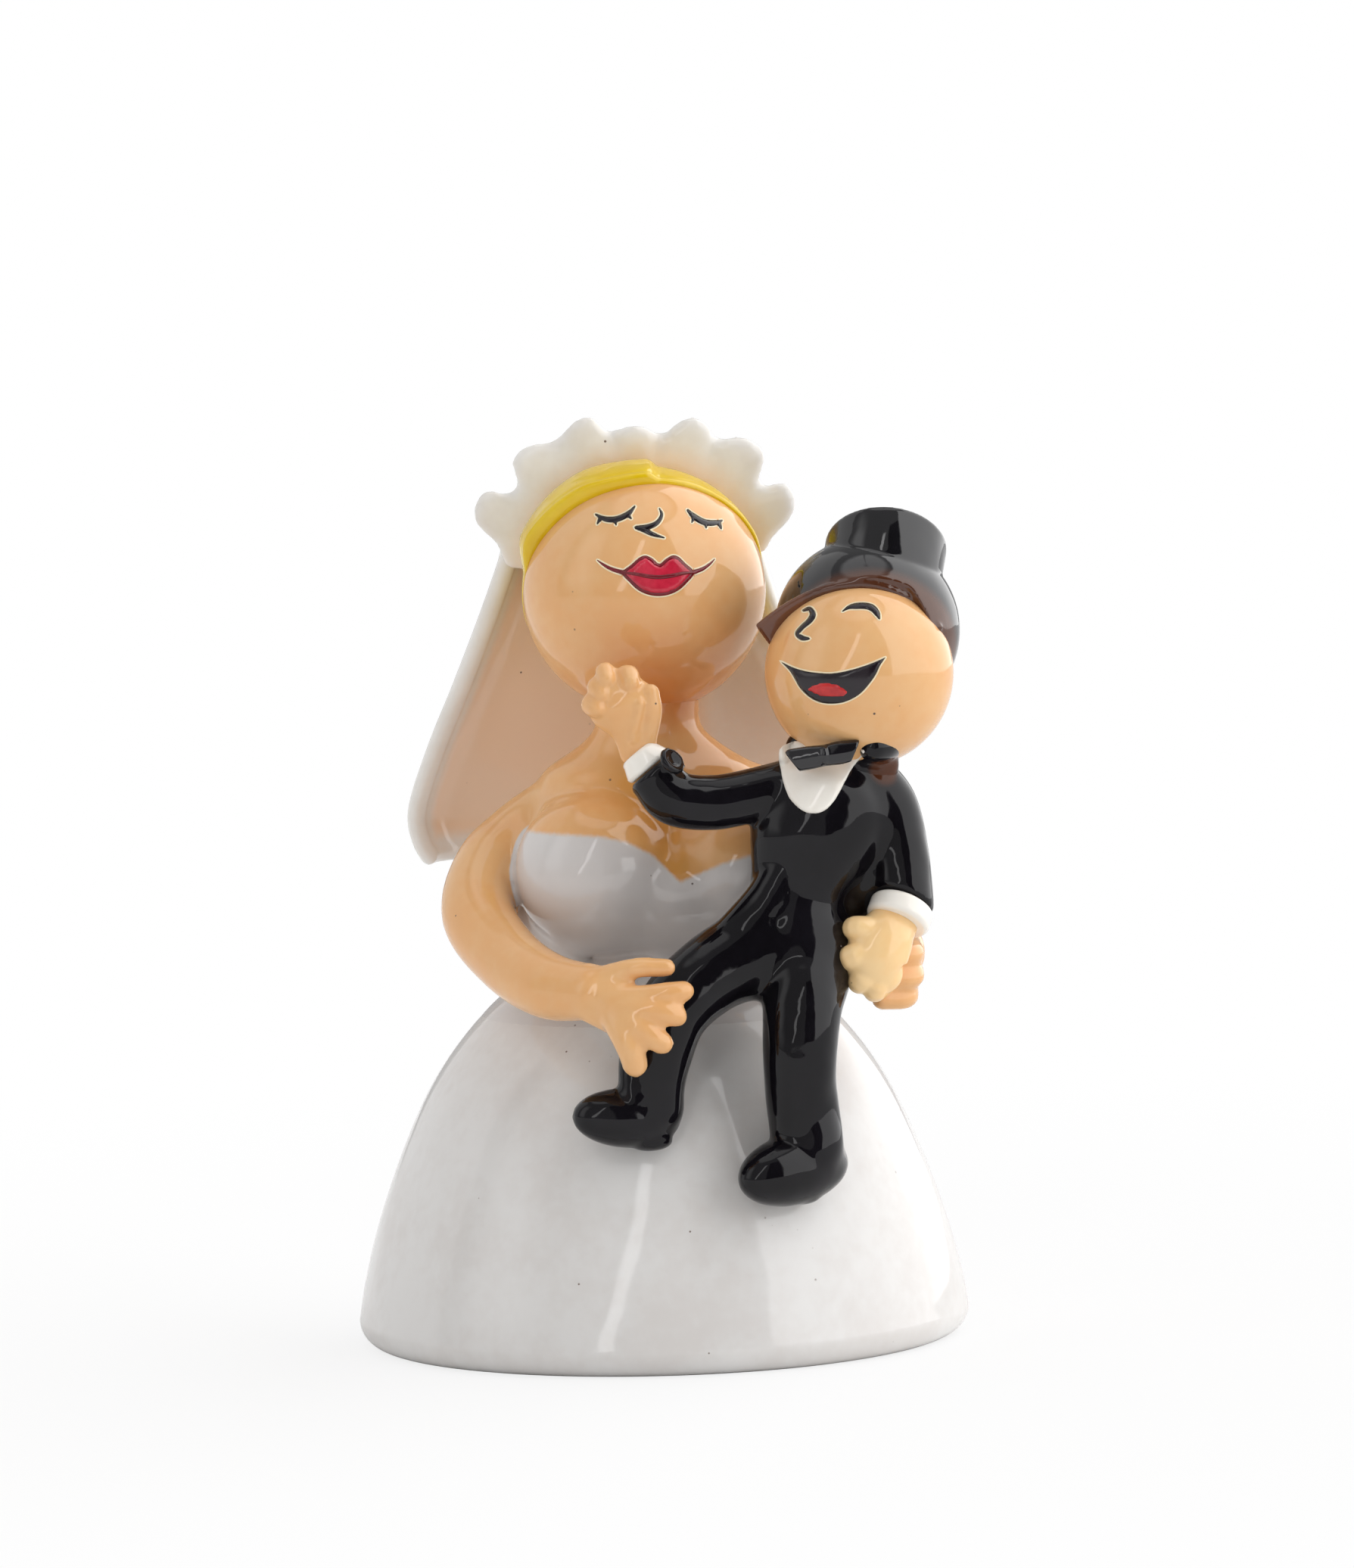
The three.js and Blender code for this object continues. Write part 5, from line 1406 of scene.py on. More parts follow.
@dataclass
class Headpiece:
    """The scalloped ruffle that stands on her hair like a fan, folded at each crease."""

    head: np.ndarray
    head_radius: float
    thickness: float = 2.8
    root: float = 17.0
    fold: float = 1.3
    setback: float = 5.0
    sweep: float = 7.0
    half_turn: float = 80.0
    rows: tuple[tuple[float, float, float], ...] = (
        (-0.985, 1.19, 0.2), (-0.91, 1.25, 0.6), (-0.855, 1.42, 0.9), (-0.795, 1.55, 1.0), (-0.75, 1.56, 1.0),
        (-0.695, 1.48, 0.6), (-0.626, 1.345, 0.0), (-0.575, 1.45, 0.6), (-0.521, 1.53, 1.0), (-0.455, 1.51, 0.8),
        (-0.36, 1.435, 0.0), (-0.295, 1.475, 0.6), (-0.225, 1.5, 1.0), (-0.174, 1.42, 0.6), (-0.135, 1.335, 0.0),
        (-0.08, 1.345, 0.8), (-0.016, 1.35, 1.0), (0.04, 1.325, 0.7), (0.085, 1.302, 0.0), (0.148, 1.37, 0.6),
        (0.2, 1.455, 0.9), (0.245, 1.475, 1.0), (0.29, 1.44, 0.5), (0.33, 1.39, 0.0), (0.38, 1.43, 0.5),
        (0.445, 1.495, 1.0), (0.505, 1.512, 1.0), (0.56, 1.44, 0.6), (0.616, 1.302, 0.0), (0.665, 1.41, 0.6),
        (0.716, 1.47, 1.0), (0.775, 1.435, 1.0), (0.83, 1.31, 0.7), (0.88, 1.13, 0.4), (0.924, 1.06, 0.2),
    )

    def curve(self, shape: Tree, share: Value, values: Sequence[float]) -> Value:
        """Reads one column of the table at a share of the way round.

        Args:
            shape: the tree.
            share: the share, from 0 to 1.
            values: the column.

        Returns:
            The column's value there.
        """
        low, high = min(values), max(values)
        made = shape.node("ShaderNodeFloatCurve", {"Value": share})
        line = made.mapping.curves[0]
        spots = [(spot, (value - low) / (high - low)) for spot, value in zip(np.linspace(0, 1, len(values)), values)]
        line.points[0].location, line.points[-1].location = spots[0], spots[-1]
        for spot in spots[1:-1]:
            line.points.new(*spot)
        made.mapping.update()
        return Value(shape, made.outputs[0]) * (high - low) + low

    def tree(self, finish: bpy.types.Material) -> Tree:
        """Builds the shape tree of the ruffle from its sizes.

        Args:
            finish: the ruffle's material.

        Returns:
            The tree.
        """
        names = ("Root radius", "Head radius", "Half turn", "Setback", "Sweep", "Fold")
        shape = Tree.for_shape("scalloped ruffle", {**dict.fromkeys(names, "Float"), "Middle": "Vector"}, "Ruffle")
        given = [Value(shape, socket) for socket in shape.node("NodeGroupInput").outputs[:7]]
        root, head, half_turn, setback, sweep, crease, middle = given
        grid = shape.add("GeometryNodeMeshGrid", {"Size X": 1.0, "Size Y": 1.0, "Vertices X": 26, "Vertices Y": 260})
        across, along, _ = shape.add("GeometryNodeInputPosition").parts()
        out, round_share = across + 0.5, along + 0.5
        side, reach, fold = (self.curve(shape, round_share, column) for column in zip(*self.rows))
        radius = root + (head * reach - root) * out
        angle = side * half_turn
        forward = setback + sweep * side * side - crease * fold * out * out
        parts = {0: radius * angle.maths("SINE"), 1: forward, 2: radius * angle.maths("COSINE")}
        spot = shape.add("ShaderNodeCombineXYZ", parts)
        settled = shape.add("ShaderNodeVectorMath", {0: spot, 1: middle}, operation="ADD")
        moved = shape.add("GeometryNodeSetPosition", {"Geometry": grid, "Position": settled})
        shape.end_shape(moved, finish, "Ruffle")
        return shape

    def build(self, glazes: Glazes) -> None:
        """Makes the headpiece, thick and with a full round edge.

        Args:
            glazes: the finishes.
        """
        item = new_object("headpiece_ruffle", bpy.data.meshes.new("headpiece_ruffle"))
        lengths = {
            "Root radius": self.root, "Head radius": self.head_radius, "Setback": self.setback,
            "Sweep": self.sweep, "Fold": self.fold,
        }
        sizes = {name: length * MILLIMETRE for name, length in lengths.items()}
        sizes |= {"Half turn": math.radians(self.half_turn), "Middle": [float(c) * MILLIMETRE for c in self.head]}
        self.tree(glazes.white).run_on(item, sizes)
        wall = item.modifiers.new("wall", "SOLIDIFY")
        wall.thickness, wall.offset = self.thickness * 0.45 * MILLIMETRE, 0.0
        skin_over = item.modifiers.new("round edge", "REMESH")
        skin_over.mode, skin_over.voxel_size = "VOXEL", 0.4 * MILLIMETRE
        swell = item.modifiers.new("glaze thickness", "DISPLACE")
        swell.strength, swell.mid_level = self.thickness * 0.24 * MILLIMETRE, 0.0
        settle(item)
        relax(item.data, 30)
        # Painted warm shade at the root of the ruffle, next to the hair, fading out towards the scallops, over a faint
        # warm tint all over.
        low = 1 - ramp(np.linalg.norm(places_of(item) - self.head, axis=1), 19.0, 29.0)
        weights(item, Mask.LINING, low * 0.55 + 0.12)
        dress(item, glazes.lined, Slot.WHITE, "veil_headpiece")


@dataclass
class Groom:
    """The groom: his suit in one skin, his head, hat, hands, cuffs, shirt front and bow tie."""

    head_radius: float = 15.0
    trunk_radii: tuple[float, ...] = (9.8, 9.8, 7.3, 10.2, 10.2, 7.0)
    depth_share: float = 0.76
    leg_radii: tuple[float, ...] = (7.448, 6.4, 5.9, 5.6, 5.1)
    shoe_length: float = 8.9
    shoe_height: float = 4.7
    heel: float = 3.6
    collar: float = 2.43
    collar_reach: float = 7.0
    collar_span: Flat = (-80.0, 140.0)
    collar_shift: Place = (-0.5, -2.6, 3.6)
    suit_fineness: float = 0.42
    hand_fineness: float = 0.26
    bow_fineness: float = 0.2
    sleeve_top: float = 5.3
    sleeve_radius: float = 4.4
    right_toe: Place = (-0.94, -0.3, 0.1)
    left_toe: Place = (-0.76, -0.63, -0.1)
    cuff_length: float = 3.4
    cuff_fold: float = 0.85
    shirt_thickness: float = 0.8
    shirt_width: float = 12.0
    shirt_length: float = 10.9
    shirt_spacing: float = 0.4
    bow_width: float = 11.4
    bow_height: float = 5.2
    bow_spots: tuple[Flat, ...] = ((-0.46, 0.36), (-0.2, 0.36), (0.0, 0.33), (0.2, 0.36), (0.46, 0.31))
    bow_cuts: tuple[Place, ...] = ((-0.46, -1.0, -0.75), (0.44, 1.0, -0.45))
    chin: Place = (0.384, -0.307, 0.364)
    nape: Place = (0.358, -0.312, 0.364)
    body: tuple[Place, ...] = (
        (0.239, -0.352, 0.02), (0.248, -0.352, 0.075), (0.257, -0.352, 0.142), (0.29, -0.341, 0.239),
        (0.33, -0.324, 0.318), (0.352, -0.314, 0.366),
    )
    right_leg: tuple[Place, ...] = (
        (0.193, -0.364, 0.045), (0.102, -0.409, 0.006), (0.032, -0.443, -0.054), (0.003, -0.455, -0.125),
        (-0.008, -0.455, -0.193),
    )
    left_leg: tuple[Place, ...] = (
        (0.273, -0.364, 0.0), (0.264, -0.42, -0.057), (0.257, -0.438, -0.136), (0.256, -0.438, -0.216),
        (0.256, -0.438, -0.278),
    )
    right_sleeve: tuple[Place, ...] = (
        (0.273, -0.33, 0.33), (0.193, -0.352, 0.322), (0.114, -0.375, 0.312), (0.041, -0.386, 0.325),
        (0.005, -0.38, 0.375),
    )
    left_sleeve: tuple[Place, ...] = (
        (0.392, -0.307, 0.335), (0.424, -0.312, 0.29), (0.446, -0.322, 0.205), (0.452, -0.34, 0.117),
    )
    right_cuff_way: Place = (-0.62, 0.1, 0.78)
    left_cuff_way: Place = (-0.34, -0.5, -0.8)
    right_cuff: float = 4.2
    left_cuff: float = 4.9
    crater: Place = (3.8, -39.0, 96.6)
    crater_way: Place = (0.62, -0.55, 0.56)
    crater_radius: float = 1.75
    crater_roll: float = 0.75
    crater_floor: Ellipsoid = Ellipsoid((3.7, -38.0, 96.3), (0.9, 1.9, 1.9), 24, (0.62, -0.55, 0.56))
    armpit: Ellipsoid = Ellipsoid((33.0, -26.5, 78.5), (10.5, 5.0, 6.0), 32, (0.16, 0.0, 1.0))
    folds: tuple[Limb, ...] = (
        Limb(((23.2, -37.5, 47.0), (23.6, -38.0, 41.0), (24.2, -38.8, 35.0)), (5.0, 5.2, 5.2), 6, 28),
        Limb(
            ((20.7, -33.0, 77.8), (18.0, -33.5, 72.8), (13.0, -35.0, 67.7), (8.5, -37.0, 63.7)),
            (3.6, 4.2, 4.2, 4.0), 6, 28,
        ),
        Limb(((-2.9, -41.0, 54.1), (-3.5, -42.0, 49.5), (-3.6, -43.0, 43.6)), (2.2, 2.5, 2.5), 6, 28),
        Limb(((33.9, -32.0, 95.9), (36.0, -31.0, 95.5), (37.8, -29.5, 94.5)), (1.8, 2.1, 2.0), 6, 24),
    )
    sponged: tuple[Spot, ...] = (
        ((26.5, -36.0, 62.0), 11.0), ((14.0, -35.0, 64.0), 9.0), ((27.5, -38.0, 38.0), 9.0), ((0.0, -40.0, 44.5), 7.0),
        ((24.0, -30.0, 90.0), 8.0), ((34.0, -28.0, 86.0), 9.0), ((33.0, -28.0, 72.0), 8.0),
    )
    worn: tuple[Spot, ...] = (((37.7, -32.0, 94.2), 3.4), ((-5.4, -47.0, 45.0), 2.2))
    shirt_top: Place = (0.306, -0.45, 0.412)
    knot: Place = (0.318, -0.436, 0.39)
    knot_shift: Place = (-0.3, 0.0, 0.5)
    shirt_outline: tuple[Flat, ...] = (
        (-0.5, 0.0), (-0.52, -0.35), (-0.42, -0.75), (-0.2, -0.97), (0.02, -0.97), (0.2, -0.8), (0.41, -0.42),
        (0.62, -0.06),
    )
    raised_radii: tuple[float, ...] = (3.0, 3.8, 5.6, 4.3)
    raised_palm: tuple[Place, ...] = ((-2.1, -33.2, 101.3), (-3.7, -33.3, 105.3), (-4.8, -33.3, 107.9))
    raised_knuckles: tuple[Limb, ...] = (
        Limb(((-4.3, -33.2, 107.3), (-6.4, -33.5, 110.7), (-6.2, -35.2, 109.6)), (1.9, 1.6, 1.35)),
        Limb(((-4.3, -33.2, 107.3), (-2.9, -33.5, 109.9), (-2.4, -35.2, 108.9)), (1.9, 1.9, 1.5)),
        Limb(((-4.3, -33.2, 107.3), (-7.7, -33.5, 108.4), (-7.1, -35.2, 107.4)), (1.9, 1.7, 1.4)),
        Limb(((-4.3, -33.2, 107.3), (-8.5, -33.5, 105.6), (-7.9, -35.2, 105.0)), (1.9, 1.9, 1.6)),
        Limb(((0.1, -33.6, 100.1), (0.9, -34.2, 104.2), (0.7, -34.5, 107.2)), (1.5, 1.6, 1.45)),
        Limb(((-2.4, -35.0, 99.8), (-1.0, -35.9, 105.6)), (0.7, 0.8), 4, 16),
    )
    fist_radii: tuple[float, ...] = (3.6, 4.7, 5.0, 4.0)
    fist_palm: tuple[Place, ...] = ((36.7, -33.0, 67.4), (35.0, -33.8, 63.6), (35.4, -33.2, 61.4))
    fist_knuckles: tuple[Limb, ...] = (
        Limb(((35.8, -34.0, 68.7), (31.9, -35.0, 69.2), (32.3, -31.0, 68.2)), (2.1, 1.9, 1.9)),
        Limb(((35.4, -34.5, 65.6), (31.2, -35.8, 64.6), (32.3, -31.0, 64.0)), (2.2, 2.1, 2.0)),
        Limb(((35.4, -34.5, 62.6), (32.4, -35.4, 60.7), (33.6, -31.0, 60.4)), (2.1, 1.9, 1.9)),
        Limb(((36.0, -34.0, 61.4), (34.7, -34.8, 59.2), (36.0, -31.0, 59.4)), (2.0, 1.9, 1.8)),
    )
    fist_sponged: tuple[Spot, ...] = (((37.0, -38.0, 64.5), 4.6),)

    @property
    def head(self) -> np.ndarray:
        """The middle of his head."""
        return share_place(self.chin) + np.array((0.0, 0.0, self.head_radius))

    def suit_forms(self) -> list[Form]:
        """Makes jacket, trousers, sleeves, shoes and collar.

        Returns:
            Their closed surfaces.
        """
        forms = [Limb(share_path(self.body), self.trunk_radii, 10, 48, depth=self.depth_share).form()]
        forms += [Limb(share_path(leg), self.leg_radii, 10, 32).form() for leg in (self.right_leg, self.left_leg)]
        forms += self.shoe(self.right_leg[-1], self.right_toe, toe=0.5, size=1.0)
        forms += self.shoe(self.left_leg[-1], self.left_toe, toe=0.17, size=1.2)
        top, thin, right, left = self.sleeve_top, self.sleeve_radius, self.right_cuff, self.left_cuff
        sleeves = (
            (self.right_sleeve, (top, thin, thin, thin, right), self.right_cuff_way),
            (self.left_sleeve, (top, top, left, left), self.left_cuff_way),
        )
        for shares, radii, way in sleeves:
            path = share_path(shares)
            forms.append(Limb(path, radii, 10, 32).form().trimmed(path[-1], unit(way)))
        edge = share_place(self.right_sleeve[-1]) - unit(self.right_cuff_way)
        forms.append(ring_roll(edge, self.right_cuff_way, self.right_cuff - 0.6, 1.0))
        forms.append(ring_roll(self.crater, self.crater_way, self.crater_radius, self.crater_roll))
        forms += [self.crater_floor.form(), self.armpit.form(), *(fold.form() for fold in self.folds)]
        middle = share_place(self.nape) + np.array(self.collar_shift)
        turns = np.radians(np.linspace(*self.collar_span, 13))
        roll = [middle + self.collar_reach * np.array((math.sin(t), math.cos(t), 0.0)) for t in turns]
        forms.append(Limb(roll, [self.collar] * len(roll), 3).form())
        return forms

    def shoe(self, ankle_share: Place, along: Place, toe: float, size: float) -> list[Form]:
        """Makes a shoe: a long rounded toe, a heel, and the ankle that runs into it.

        Args:
            ankle_share: the ankle's place, in shares.
            along: the way in which the toe points.
            toe: how far the middle of the shoe lies ahead of the ankle, in half-lengths.
            size: the shoe's size.

        Returns:
            The closed surfaces.
        """
        ankle, thick = share_place(ankle_share), self.leg_radii[-1]
        half = (self.shoe_length * size, self.shoe_height * size, self.shoe_height * size)
        middle = ankle + unit(along) * half[0] * toe - np.array((0, 0, half[2]))
        heel = ankle - np.array((0.6, 0, 2 * half[2] - self.heel * 0.35))
        return [
            Ellipsoid(middle, half, 48, along).form(),
            Ellipsoid(heel, (self.heel, self.heel, self.heel * 0.45), 32).form(),
            ball(ankle - np.array((0, 0, thick / 2)), thick, 32),
        ]

    def build_suit(self, glazes: Glazes) -> None:
        """Makes the suit, then lays the shirt front and the bow tie on it.

        Args:
            glazes: the finishes.
        """
        item = fused("groom_suit", self.suit_forms(), self.suit_fineness, 6, self.sponged, 40)
        names = (
            "groom_body", "groom_right_leg", "groom_left_leg", "groom_right_shoe", "groom_left_shoe",
            "groom_right_sleeve", "groom_left_sleeve", "groom_collar",
        )
        weights(item, Mask.THIN, near_places(places_of(item), self.worn) * 0.6)
        dress(item, glazes.suit, Slot.BLACK, *names)
        self.build_shirt(item, glazes)
        self.build_bow(glazes)

    def build_bow(self, glazes: Glazes) -> None:
        """Makes the bow tie: a folded wing, cut off slantwise at both ends, and its knot.

        Args:
            glazes: the finishes.
        """
        knot = share_place(self.knot) + np.array(self.knot_shift)
        wings = [knot + np.array((x * self.bow_width, -0.6 + abs(x) * 1.6, x * 1.6)) for x, _ in self.bow_spots]
        wing = Limb(wings, [high * self.bow_height for _, high in self.bow_spots], 8, 28, depth=0.62).form()
        for share, side, lean in self.bow_cuts:
            wing = wing.trimmed(knot + np.array((share * self.bow_width, 0, share * 1.6)), np.array((side, 0, lean)))
        middle = Ellipsoid(knot - np.array(BACK), (1.6, 1.0, 0.8), 24, UP).form()
        dress(fused("groom_bow", [wing, middle], self.bow_fineness, 2), glazes.black, Slot.BLACK, "groom_bow_tie")

    def build_shirt(self, suit: bpy.types.Object, glazes: Glazes) -> None:
        """Lays the shirt front on the suit's chest.

        Args:
            suit: the finished suit.
            glazes: the finishes.
        """
        tree = BVHTree.FromObject(suit, bpy.context.evaluated_depsgraph_get())
        top = share_place(self.shirt_top)
        rows = [(top[0] + x * self.shirt_width, top[2] + z * self.shirt_length) for x, z in self.shirt_outline]
        outline = smooth_path(rows, 5, closed=True)
        flat, faces, edge = filled(outline, self.shirt_spacing, self.shirt_spacing / 2)
        front, back = [], []
        for (x, z), rise in zip(flat, round_over(edge, 0.8)):
            start, spare = (Vector((x, top[1] + far, z)) * MILLIMETRE for far in (-40, 6))
            y = (tree.ray_cast(start, Vector(BACK))[0] or spare).y / MILLIMETRE
            front.append((x, y - 0.12 - self.shirt_thickness * 0.75 * rise, z))
            back.append((x, y + 0.5, z))
        item = cast("groom_shirt", slab(np.array(front), np.array(back), faces))
        relax(item.data, 2)
        dress(item, glazes.linen, Slot.WHITE, "groom_shirt_front")

    def cuff(self, end: Place, way: Place, radius: float, taper: float) -> Form:
        """A shirt cuff: a short band of white with rounded edges that narrows towards the hand.

        Args:
            end: the end of the sleeve, in shares.
            way: the way in which the hand points.
            radius: its radius at the sleeve.
            taper: how much narrower it is at the hand.

        Returns:
            The closed surface.
        """
        fold, start = self.cuff_fold, SEAT_GAP * 0.4
        edge, stop = radius - fold, start + self.cuff_length
        low, high = arc((edge, start + fold), fold, -90, 0), arc((edge - taper, stop - fold), fold, 0, 90)
        return revolve([(0.0, start), *low, *high, (0.0, stop)], share_place(end), way, 72)

    def build_hands(self, glazes: Glazes) -> None:
        """Makes both cuffs and both hands.

        Args:
            glazes: the finishes.
        """
        right, left = (self.right_sleeve[-1], self.right_cuff_way), (self.left_sleeve[-1], self.left_cuff_way)
        band = cast("groom_cuff_right", self.cuff(*right, self.right_cuff - 0.2, 0.75))
        dress(band, glazes.linen, Slot.WHITE, "groom_right_cuff")
        band = cast("groom_cuff_left", self.cuff(*left, self.left_cuff + 0.25, 0.0))
        dress(band, glazes.linen, Slot.WHITE, "groom_left_cuff")
        wrist = share_place(right[0]) + unit(right[1]) * 3.0
        palm = Limb([wrist, *self.raised_palm], self.raised_radii, 8, 32, depth=0.56)
        forms = [one.form() for one in (palm, *self.raised_knuckles)]
        dress(fused("groom_raised_hand", forms, self.hand_fineness, 7), glazes.skin, Slot.SKIN, "groom_right_hand")
        wrist = share_place(left[0]) + unit(left[1]) * 2.6
        palm = Limb([wrist, *self.fist_palm], self.fist_radii, 8, 32, depth=0.84)
        forms = [one.form() for one in (palm, *self.fist_knuckles)]
        item = fused("groom_fist", forms, self.hand_fineness, 4, self.fist_sponged, 60)
        dress(item, glazes.hand, Slot.SKIN, "groom_left_hand")

    def build(self, glazes: Glazes) -> None:
        """Makes the whole groom.

        Args:
            glazes: the finishes.
        """
        self.build_suit(glazes)
        self.build_hands(glazes)
        dress(cast("groom_face", ball(self.head, self.head_radius, 128)), glazes.skin, Slot.SKIN, "groom_head")
        GroomFace(self.head, self.head_radius).build(glazes)
        Hat(self.head, self.head_radius).build(glazes)


@dataclass
class GroomFace(PaintedFace):
    """His painted face, turned to her: a small nose, one closed eye, and an open laugh."""

    nose: Stroke = Stroke(
        (
            (-8.75, 10.35), (-7.69, 10.6), (-7.26, 9.82), (-7.78, 8.9), (-8.99, 7.86), (-9.75, 6.81), (-9.06, 6.25),
            (-8.01, 6.14),
        ),
        (0.35, 0.75, 0.95, 0.85, 0.7, 0.75, 0.85, 0.45),
    )
    eye: Stroke = Stroke(
        ((-2.66, 10.25), (-1.69, 10.8), (-0.61, 11.0), (1.17, 10.95), (2.1, 10.58), (2.77, 9.76), (3.09, 8.95)),
        (0.2, 0.55, 0.9, 1.0, 1.05, 0.9, 0.35),
    )
    mouth_top: tuple[Flat, ...] = (
        (-12.6, 2.6), (-10.38, 1.6), (-8.64, 1.13), (-6.89, 0.88), (-4.55, 0.78), (-1.59, 1.29), (1.4, 2.15),
        (3.93, 3.11),
    )
    mouth_low: tuple[Flat, ...] = (
        (3.93, 3.11), (2.93, 1.84), (2.3, 0.58), (1.31, -0.81), (-0.5, -2.66), (-2.89, -3.81), (-5.25, -4.03),
        (-7.0, -3.66), (-8.39, -2.83), (-9.64, -1.53), (-10.42, -0.11), (-11.1, 1.06), (-12.6, 2.6),
    )
    tongue: tuple[Flat, ...] = (
        (-8.48, -1.75), (-7.53, -1.02), (-6.35, -0.67), (-5.17, -0.67), (-4.0, -0.8), (-2.96, -1.41), (-2.15, -2.26),
        (-2.75, -2.85), (-3.46, -2.96), (-4.99, -2.94), (-6.39, -2.82), (-7.56, -2.34),
    )

    def build(self, glazes: Glazes) -> None:
        """Paints every feature, each on its rim of cream slip.

        Args:
            glazes: the finishes.
        """
        mouth = np.vstack([smooth_path(half, 5)[:-1] for half in (self.mouth_top, self.mouth_low)])
        lines = [self.nose.outline(), self.eye.outline(), mouth]
        dress(cast("groom_face_lines", *map(self.form, lines)), glazes.line, Slot.BLACK)
        tongue = self.form(smooth_path(self.tongue, 6, closed=True), 0.1)
        dress(cast("groom_tongue", tongue), glazes.tongue, Slot.SKIN)
        self.rims("groom_face_rims", lines, glazes)


@dataclass
class Hat:
    """The top hat: a rolled dome that grips the head, a thin brim, and the crown. Places are head radii."""

    head: np.ndarray
    head_radius: float
    crown: float = 9.6
    top: float = 9.7
    dome: float = 14.8
    lip: float = 0.7
    half_width: float = 16.3
    rise: float = 7.9
    drop: float = 15.0
    straight: float = 8.2
    droop: float = 4.2
    fineness: float = 0.3
    brim_way: Place = (0.0, 0.876, 0.482)
    foot_way: Place = (0.155, 0.36, 0.92)
    top_way: Place = (0.09, 0.67, 0.74)
    dome_place: Place = (0.107, 0.367, 0.428)
    brim_place: Place = (0.0, -0.16, 0.538)
    foot_place: Place = (0.3, 0.493, 1.107)
    top_place: Place = (0.34, 0.62, 1.325)

    def at(self, place: Place) -> np.ndarray:
        """A place on the hat, in millimetres."""
        return self.head + np.array(place) * self.head_radius

    def brim(self) -> Form:
        """Makes the brim: a thin plate that runs out to a tip on each side.

        Returns:
            The closed surface.
        """
        normal, middle = unit(self.brim_way), self.at(self.brim_place)
        upward = np.cross(RIGHT, normal)
        turns = np.linspace(0, 2 * math.pi, 96, endpoint=False)
        slope = np.sin(turns) * np.abs(np.sin(turns))
        reach = np.where(slope > 0, self.rise, self.drop)
        wide = np.where(np.cos(turns) > 0, self.half_width * 0.82, self.half_width)

        def ring(edge: float, height: float) -> np.ndarray:
            """One outline of the plate.

            Args:
                edge: how far it lies outside the plate's widest outline.
                height: how high it lies above the middle.

            Returns:
                The outline's points.
            """
            across = np.cos(turns) * (wide + edge)
            droop = np.clip((across - self.straight) / (self.half_width - self.straight), 0, 1) ** 1.5
            out = across[:, None] * np.array(RIGHT) + (slope * (reach + edge))[:, None] * upward
            return middle + out + normal * (height - self.droop * droop)[:, None]

        lip = self.lip
        rows = ((-lip, -lip), (-0.2, -lip * 0.7), (0, 0), (-0.2, lip * 0.7), (-lip, lip))
        return skin([ring(*row) for row in rows], middle - normal * lip, middle + normal * lip)

    def crown_form(self) -> Form:
        """Makes the crown: it widens from the dome to a flat top, with a small rounded edge.

        Returns:
            The closed surface.
        """
        def ring(centre: np.ndarray, way: np.ndarray, radius: float) -> np.ndarray:
            """One ring of the crown."""
            wide = unit(np.array(RIGHT) - way[0] * way)
            return oval(centre, wide * radius, np.cross(way, wide) * radius, 96)

        foot, top = self.at(self.foot_place), self.at(self.top_place)
        low, high = unit(self.foot_way), unit(self.top_way)
        rings = [ring(foot - low * 4.0, low, self.crown)]
        for t in np.arange(9) / 9:
            centre = foot + (top - high * self.lip - foot) * t
            rings.append(ring(centre, unit(low + (high - low) * t), self.crown + (self.top - self.crown) * t))
        for radius, height in arc((self.top - self.lip, -self.lip), self.lip, 0, 90, 6):
            rings.append(ring(top + high * height, high, radius))
        return skin(rings, foot - low * 4.0, top)

    def build(self, glazes: Glazes) -> None:
        """Makes the hat.

        Args:
            glazes: the finishes.
        """
        at, way = self.at(self.brim_place), unit(self.brim_way)
        dome = ball(self.at(self.dome_place), self.dome, 96)
        side = dome.trimmed(at + np.array((self.straight, 0, 0)), -unit(way + np.array((0.9, 0, 0))))
        forms = [dome.trimmed(at, -way), side, self.brim(), self.crown_form()]
        item = fused("groom_top_hat", forms, self.fineness, 2)
        local = places_of(item) - at
        low, tip = 1 - ramp(local @ way, 0.1, 2.6), 1 - ramp(local[:, 0], -11.5, -7.0)
        weights(item, Mask.THIN, np.clip(low * 0.6 + tip * low, 0, 1))
        dress(item, glazes.black, Slot.BLACK, "groom_hat")


@dataclass(frozen=True)
class Panel:
    """One white or dark cloth of the light tent: where it hangs, in degrees right of the camera and above level."""

    turn: Flat
    rise: Flat
    strength: float
    soft: float = 2.0
    lean: float = 0.0


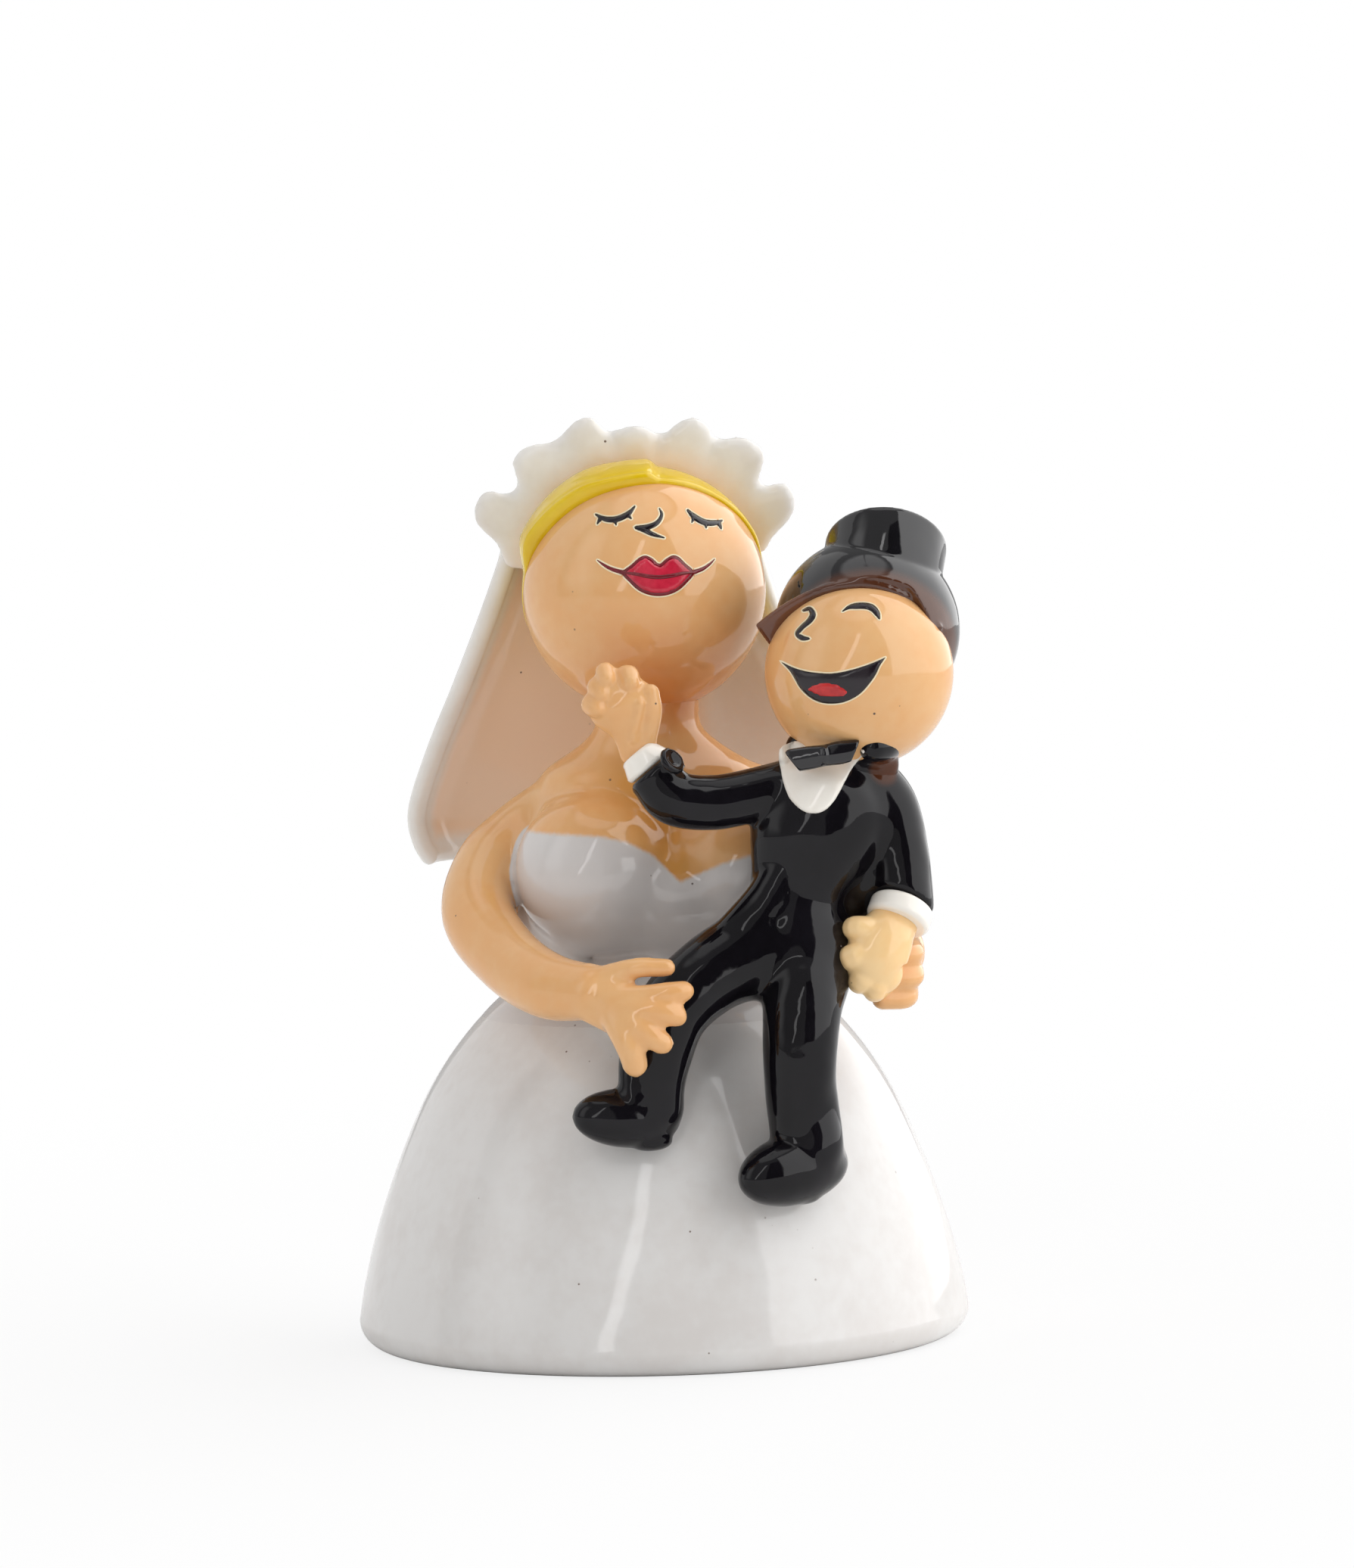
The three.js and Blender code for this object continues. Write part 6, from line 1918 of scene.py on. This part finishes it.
@dataclass
class Studio:
    """The pale floor, the light tent and the camera. The lamp's sizes are in metres."""

    aim: Place = (4.45, 0.0, 90.25)
    elevation: float = 4.0
    roll: float = 1.6
    distance: float = 1100.0
    lens: float = 155.19
    level: float = 0.4
    paper: Colour = (0.86, 0.86, 0.86, 1.0)
    lamp_place: Place = (-0.42, -0.85, 0.75)
    lamp_aim: Place = (0.0, 0.0, 0.1)
    lamp_size: Flat = (0.16, 0.24)
    lamp_power: float = 0.45
    panels: tuple[Panel, ...] = (
        Panel((38.0, 160.0), (-12.0, 66.0), 2.1),
        Panel((10.0, 38.0), (-14.0, 56.0), 0.05),
        Panel((-28.0, -21.0), (2.0, 52.0), 3.0, 1.0, 0.5),
        Panel((-86.0, -44.0), (-4.0, 60.0), 1.25, 16.0),
        Panel((-160.0, -90.0), (-12.0, 60.0), 0.85),
        Panel((-181.0, 181.0), (66.0, 92.0), 1.2, 6.0),
    )

    def camera(self) -> None:
        """Sets the camera at the photograph's viewing angle."""
        tilt, roll = math.radians(self.elevation), math.radians(self.roll)
        away = Vector((0, -math.cos(tilt), math.sin(tilt)))
        right, above = Vector(RIGHT), Vector((0, math.sin(tilt), math.cos(tilt)))
        turned_right = math.cos(roll) * right - math.sin(roll) * above
        turned_up = math.sin(roll) * right + math.cos(roll) * above
        lens = bpy.data.cameras.new("camera")
        lens.lens, lens.sensor_width = self.lens, 36.0
        lens.clip_start, lens.clip_end = 0.05, 20.0
        item = new_object("camera", lens)
        turn = Matrix((turned_right, turned_up, away)).transposed()
        place = (Vector(self.aim) + away * self.distance) * MILLIMETRE
        item.matrix_world = Matrix.Translation(place) @ turn.to_4x4()
        bpy.context.scene.camera = item

    def lamp(self) -> None:
        """Adds the soft box that points at the couple."""
        light = bpy.data.lights.new("window", "AREA")
        light.shape, light.energy = "RECTANGLE", self.lamp_power
        light.size, light.size_y = self.lamp_size
        item = new_object("window", light)
        item.location = self.lamp_place
        item.rotation_mode = "QUATERNION"
        item.rotation_quaternion = (Vector(self.lamp_aim) - Vector(self.lamp_place)).to_track_quat("-Z", "Y")
        item.visible_glossy = False

    def tent(self) -> None:
        """Hangs the light tent: bright and dark panels that the camera itself sees as white."""
        world = bpy.data.worlds.new("studio")
        bpy.context.scene.world = world
        world.use_nodes = True
        tree = Tree(world.node_tree)
        x, y, z = tree.add("ShaderNodeTexCoord", output="Generated").parts()
        turn = x.maths("ARCTAN2", y * -1.0) * (180 / math.pi)
        rise = z.maths("ARCSINE") * (180 / math.pi)
        between = lambda value, low, high, soft: value.step(low, low + soft) * (1 - value.step(high - soft, high))
        glow: Value | None = None
        for panel in self.panels:
            within = between(turn - rise * panel.lean, *panel.turn, panel.soft)
            within = within * between(rise, *panel.rise, panel.soft)
            glow = within * (panel.strength - self.level) + (self.level if glow is None else glow)
        seen = tree.add("ShaderNodeLightPath", output="Is Camera Ray")
        strength = (1 - glow) * seen + glow
        back = tree.add("ShaderNodeBackground", {"Color": WHITE, "Strength": strength})
        tree.node("ShaderNodeOutputWorld", {"Surface": back})

    def floor(self) -> None:
        """Lays the sheet of paper, which the camera sees as nearly white."""
        floor = new_object("floor", bpy.data.meshes.new("floor"))
        floor.data.from_pydata([(-3, -2, 0), (3, -2, 0), (3, 4, 0), (-3, 4, 0)], [], [(0, 1, 2, 3)])
        paper, tree, place = new_material("paper")
        seen = tree.add("ShaderNodeLightPath", output="Is Camera Ray")
        far = tree.add("ShaderNodeVectorMath", {0: place}, "Value", operation="LENGTH").step(0.12, 0.4)
        matt = tree.add("ShaderNodeBsdfDiffuse", {"Color": self.paper})
        glow = tree.add("ShaderNodeEmission", {"Color": WHITE, "Strength": 1.0})
        mixed = tree.add("ShaderNodeMixShader", {0: seen * (far * 0.2 + 0.8), 1: matt, 2: glow})
        tree.node("ShaderNodeOutputMaterial", {"Surface": mixed})
        floor.data.materials.append(paper)

    def build(self) -> None:
        """Makes the studio."""
        bpy.context.scene.view_settings.view_transform = "Standard"
        self.camera()
        self.tent()
        self.floor()
        self.lamp()


def main() -> None:
    """Builds the topper piece by piece."""
    Studio().build()
    glazes = Glazes()
    skirt = Skirt()
    skirt.build(glazes)
    Bride(skirt).build(glazes)
    Groom().build(glazes)


if __name__ == "__main__":
    main()
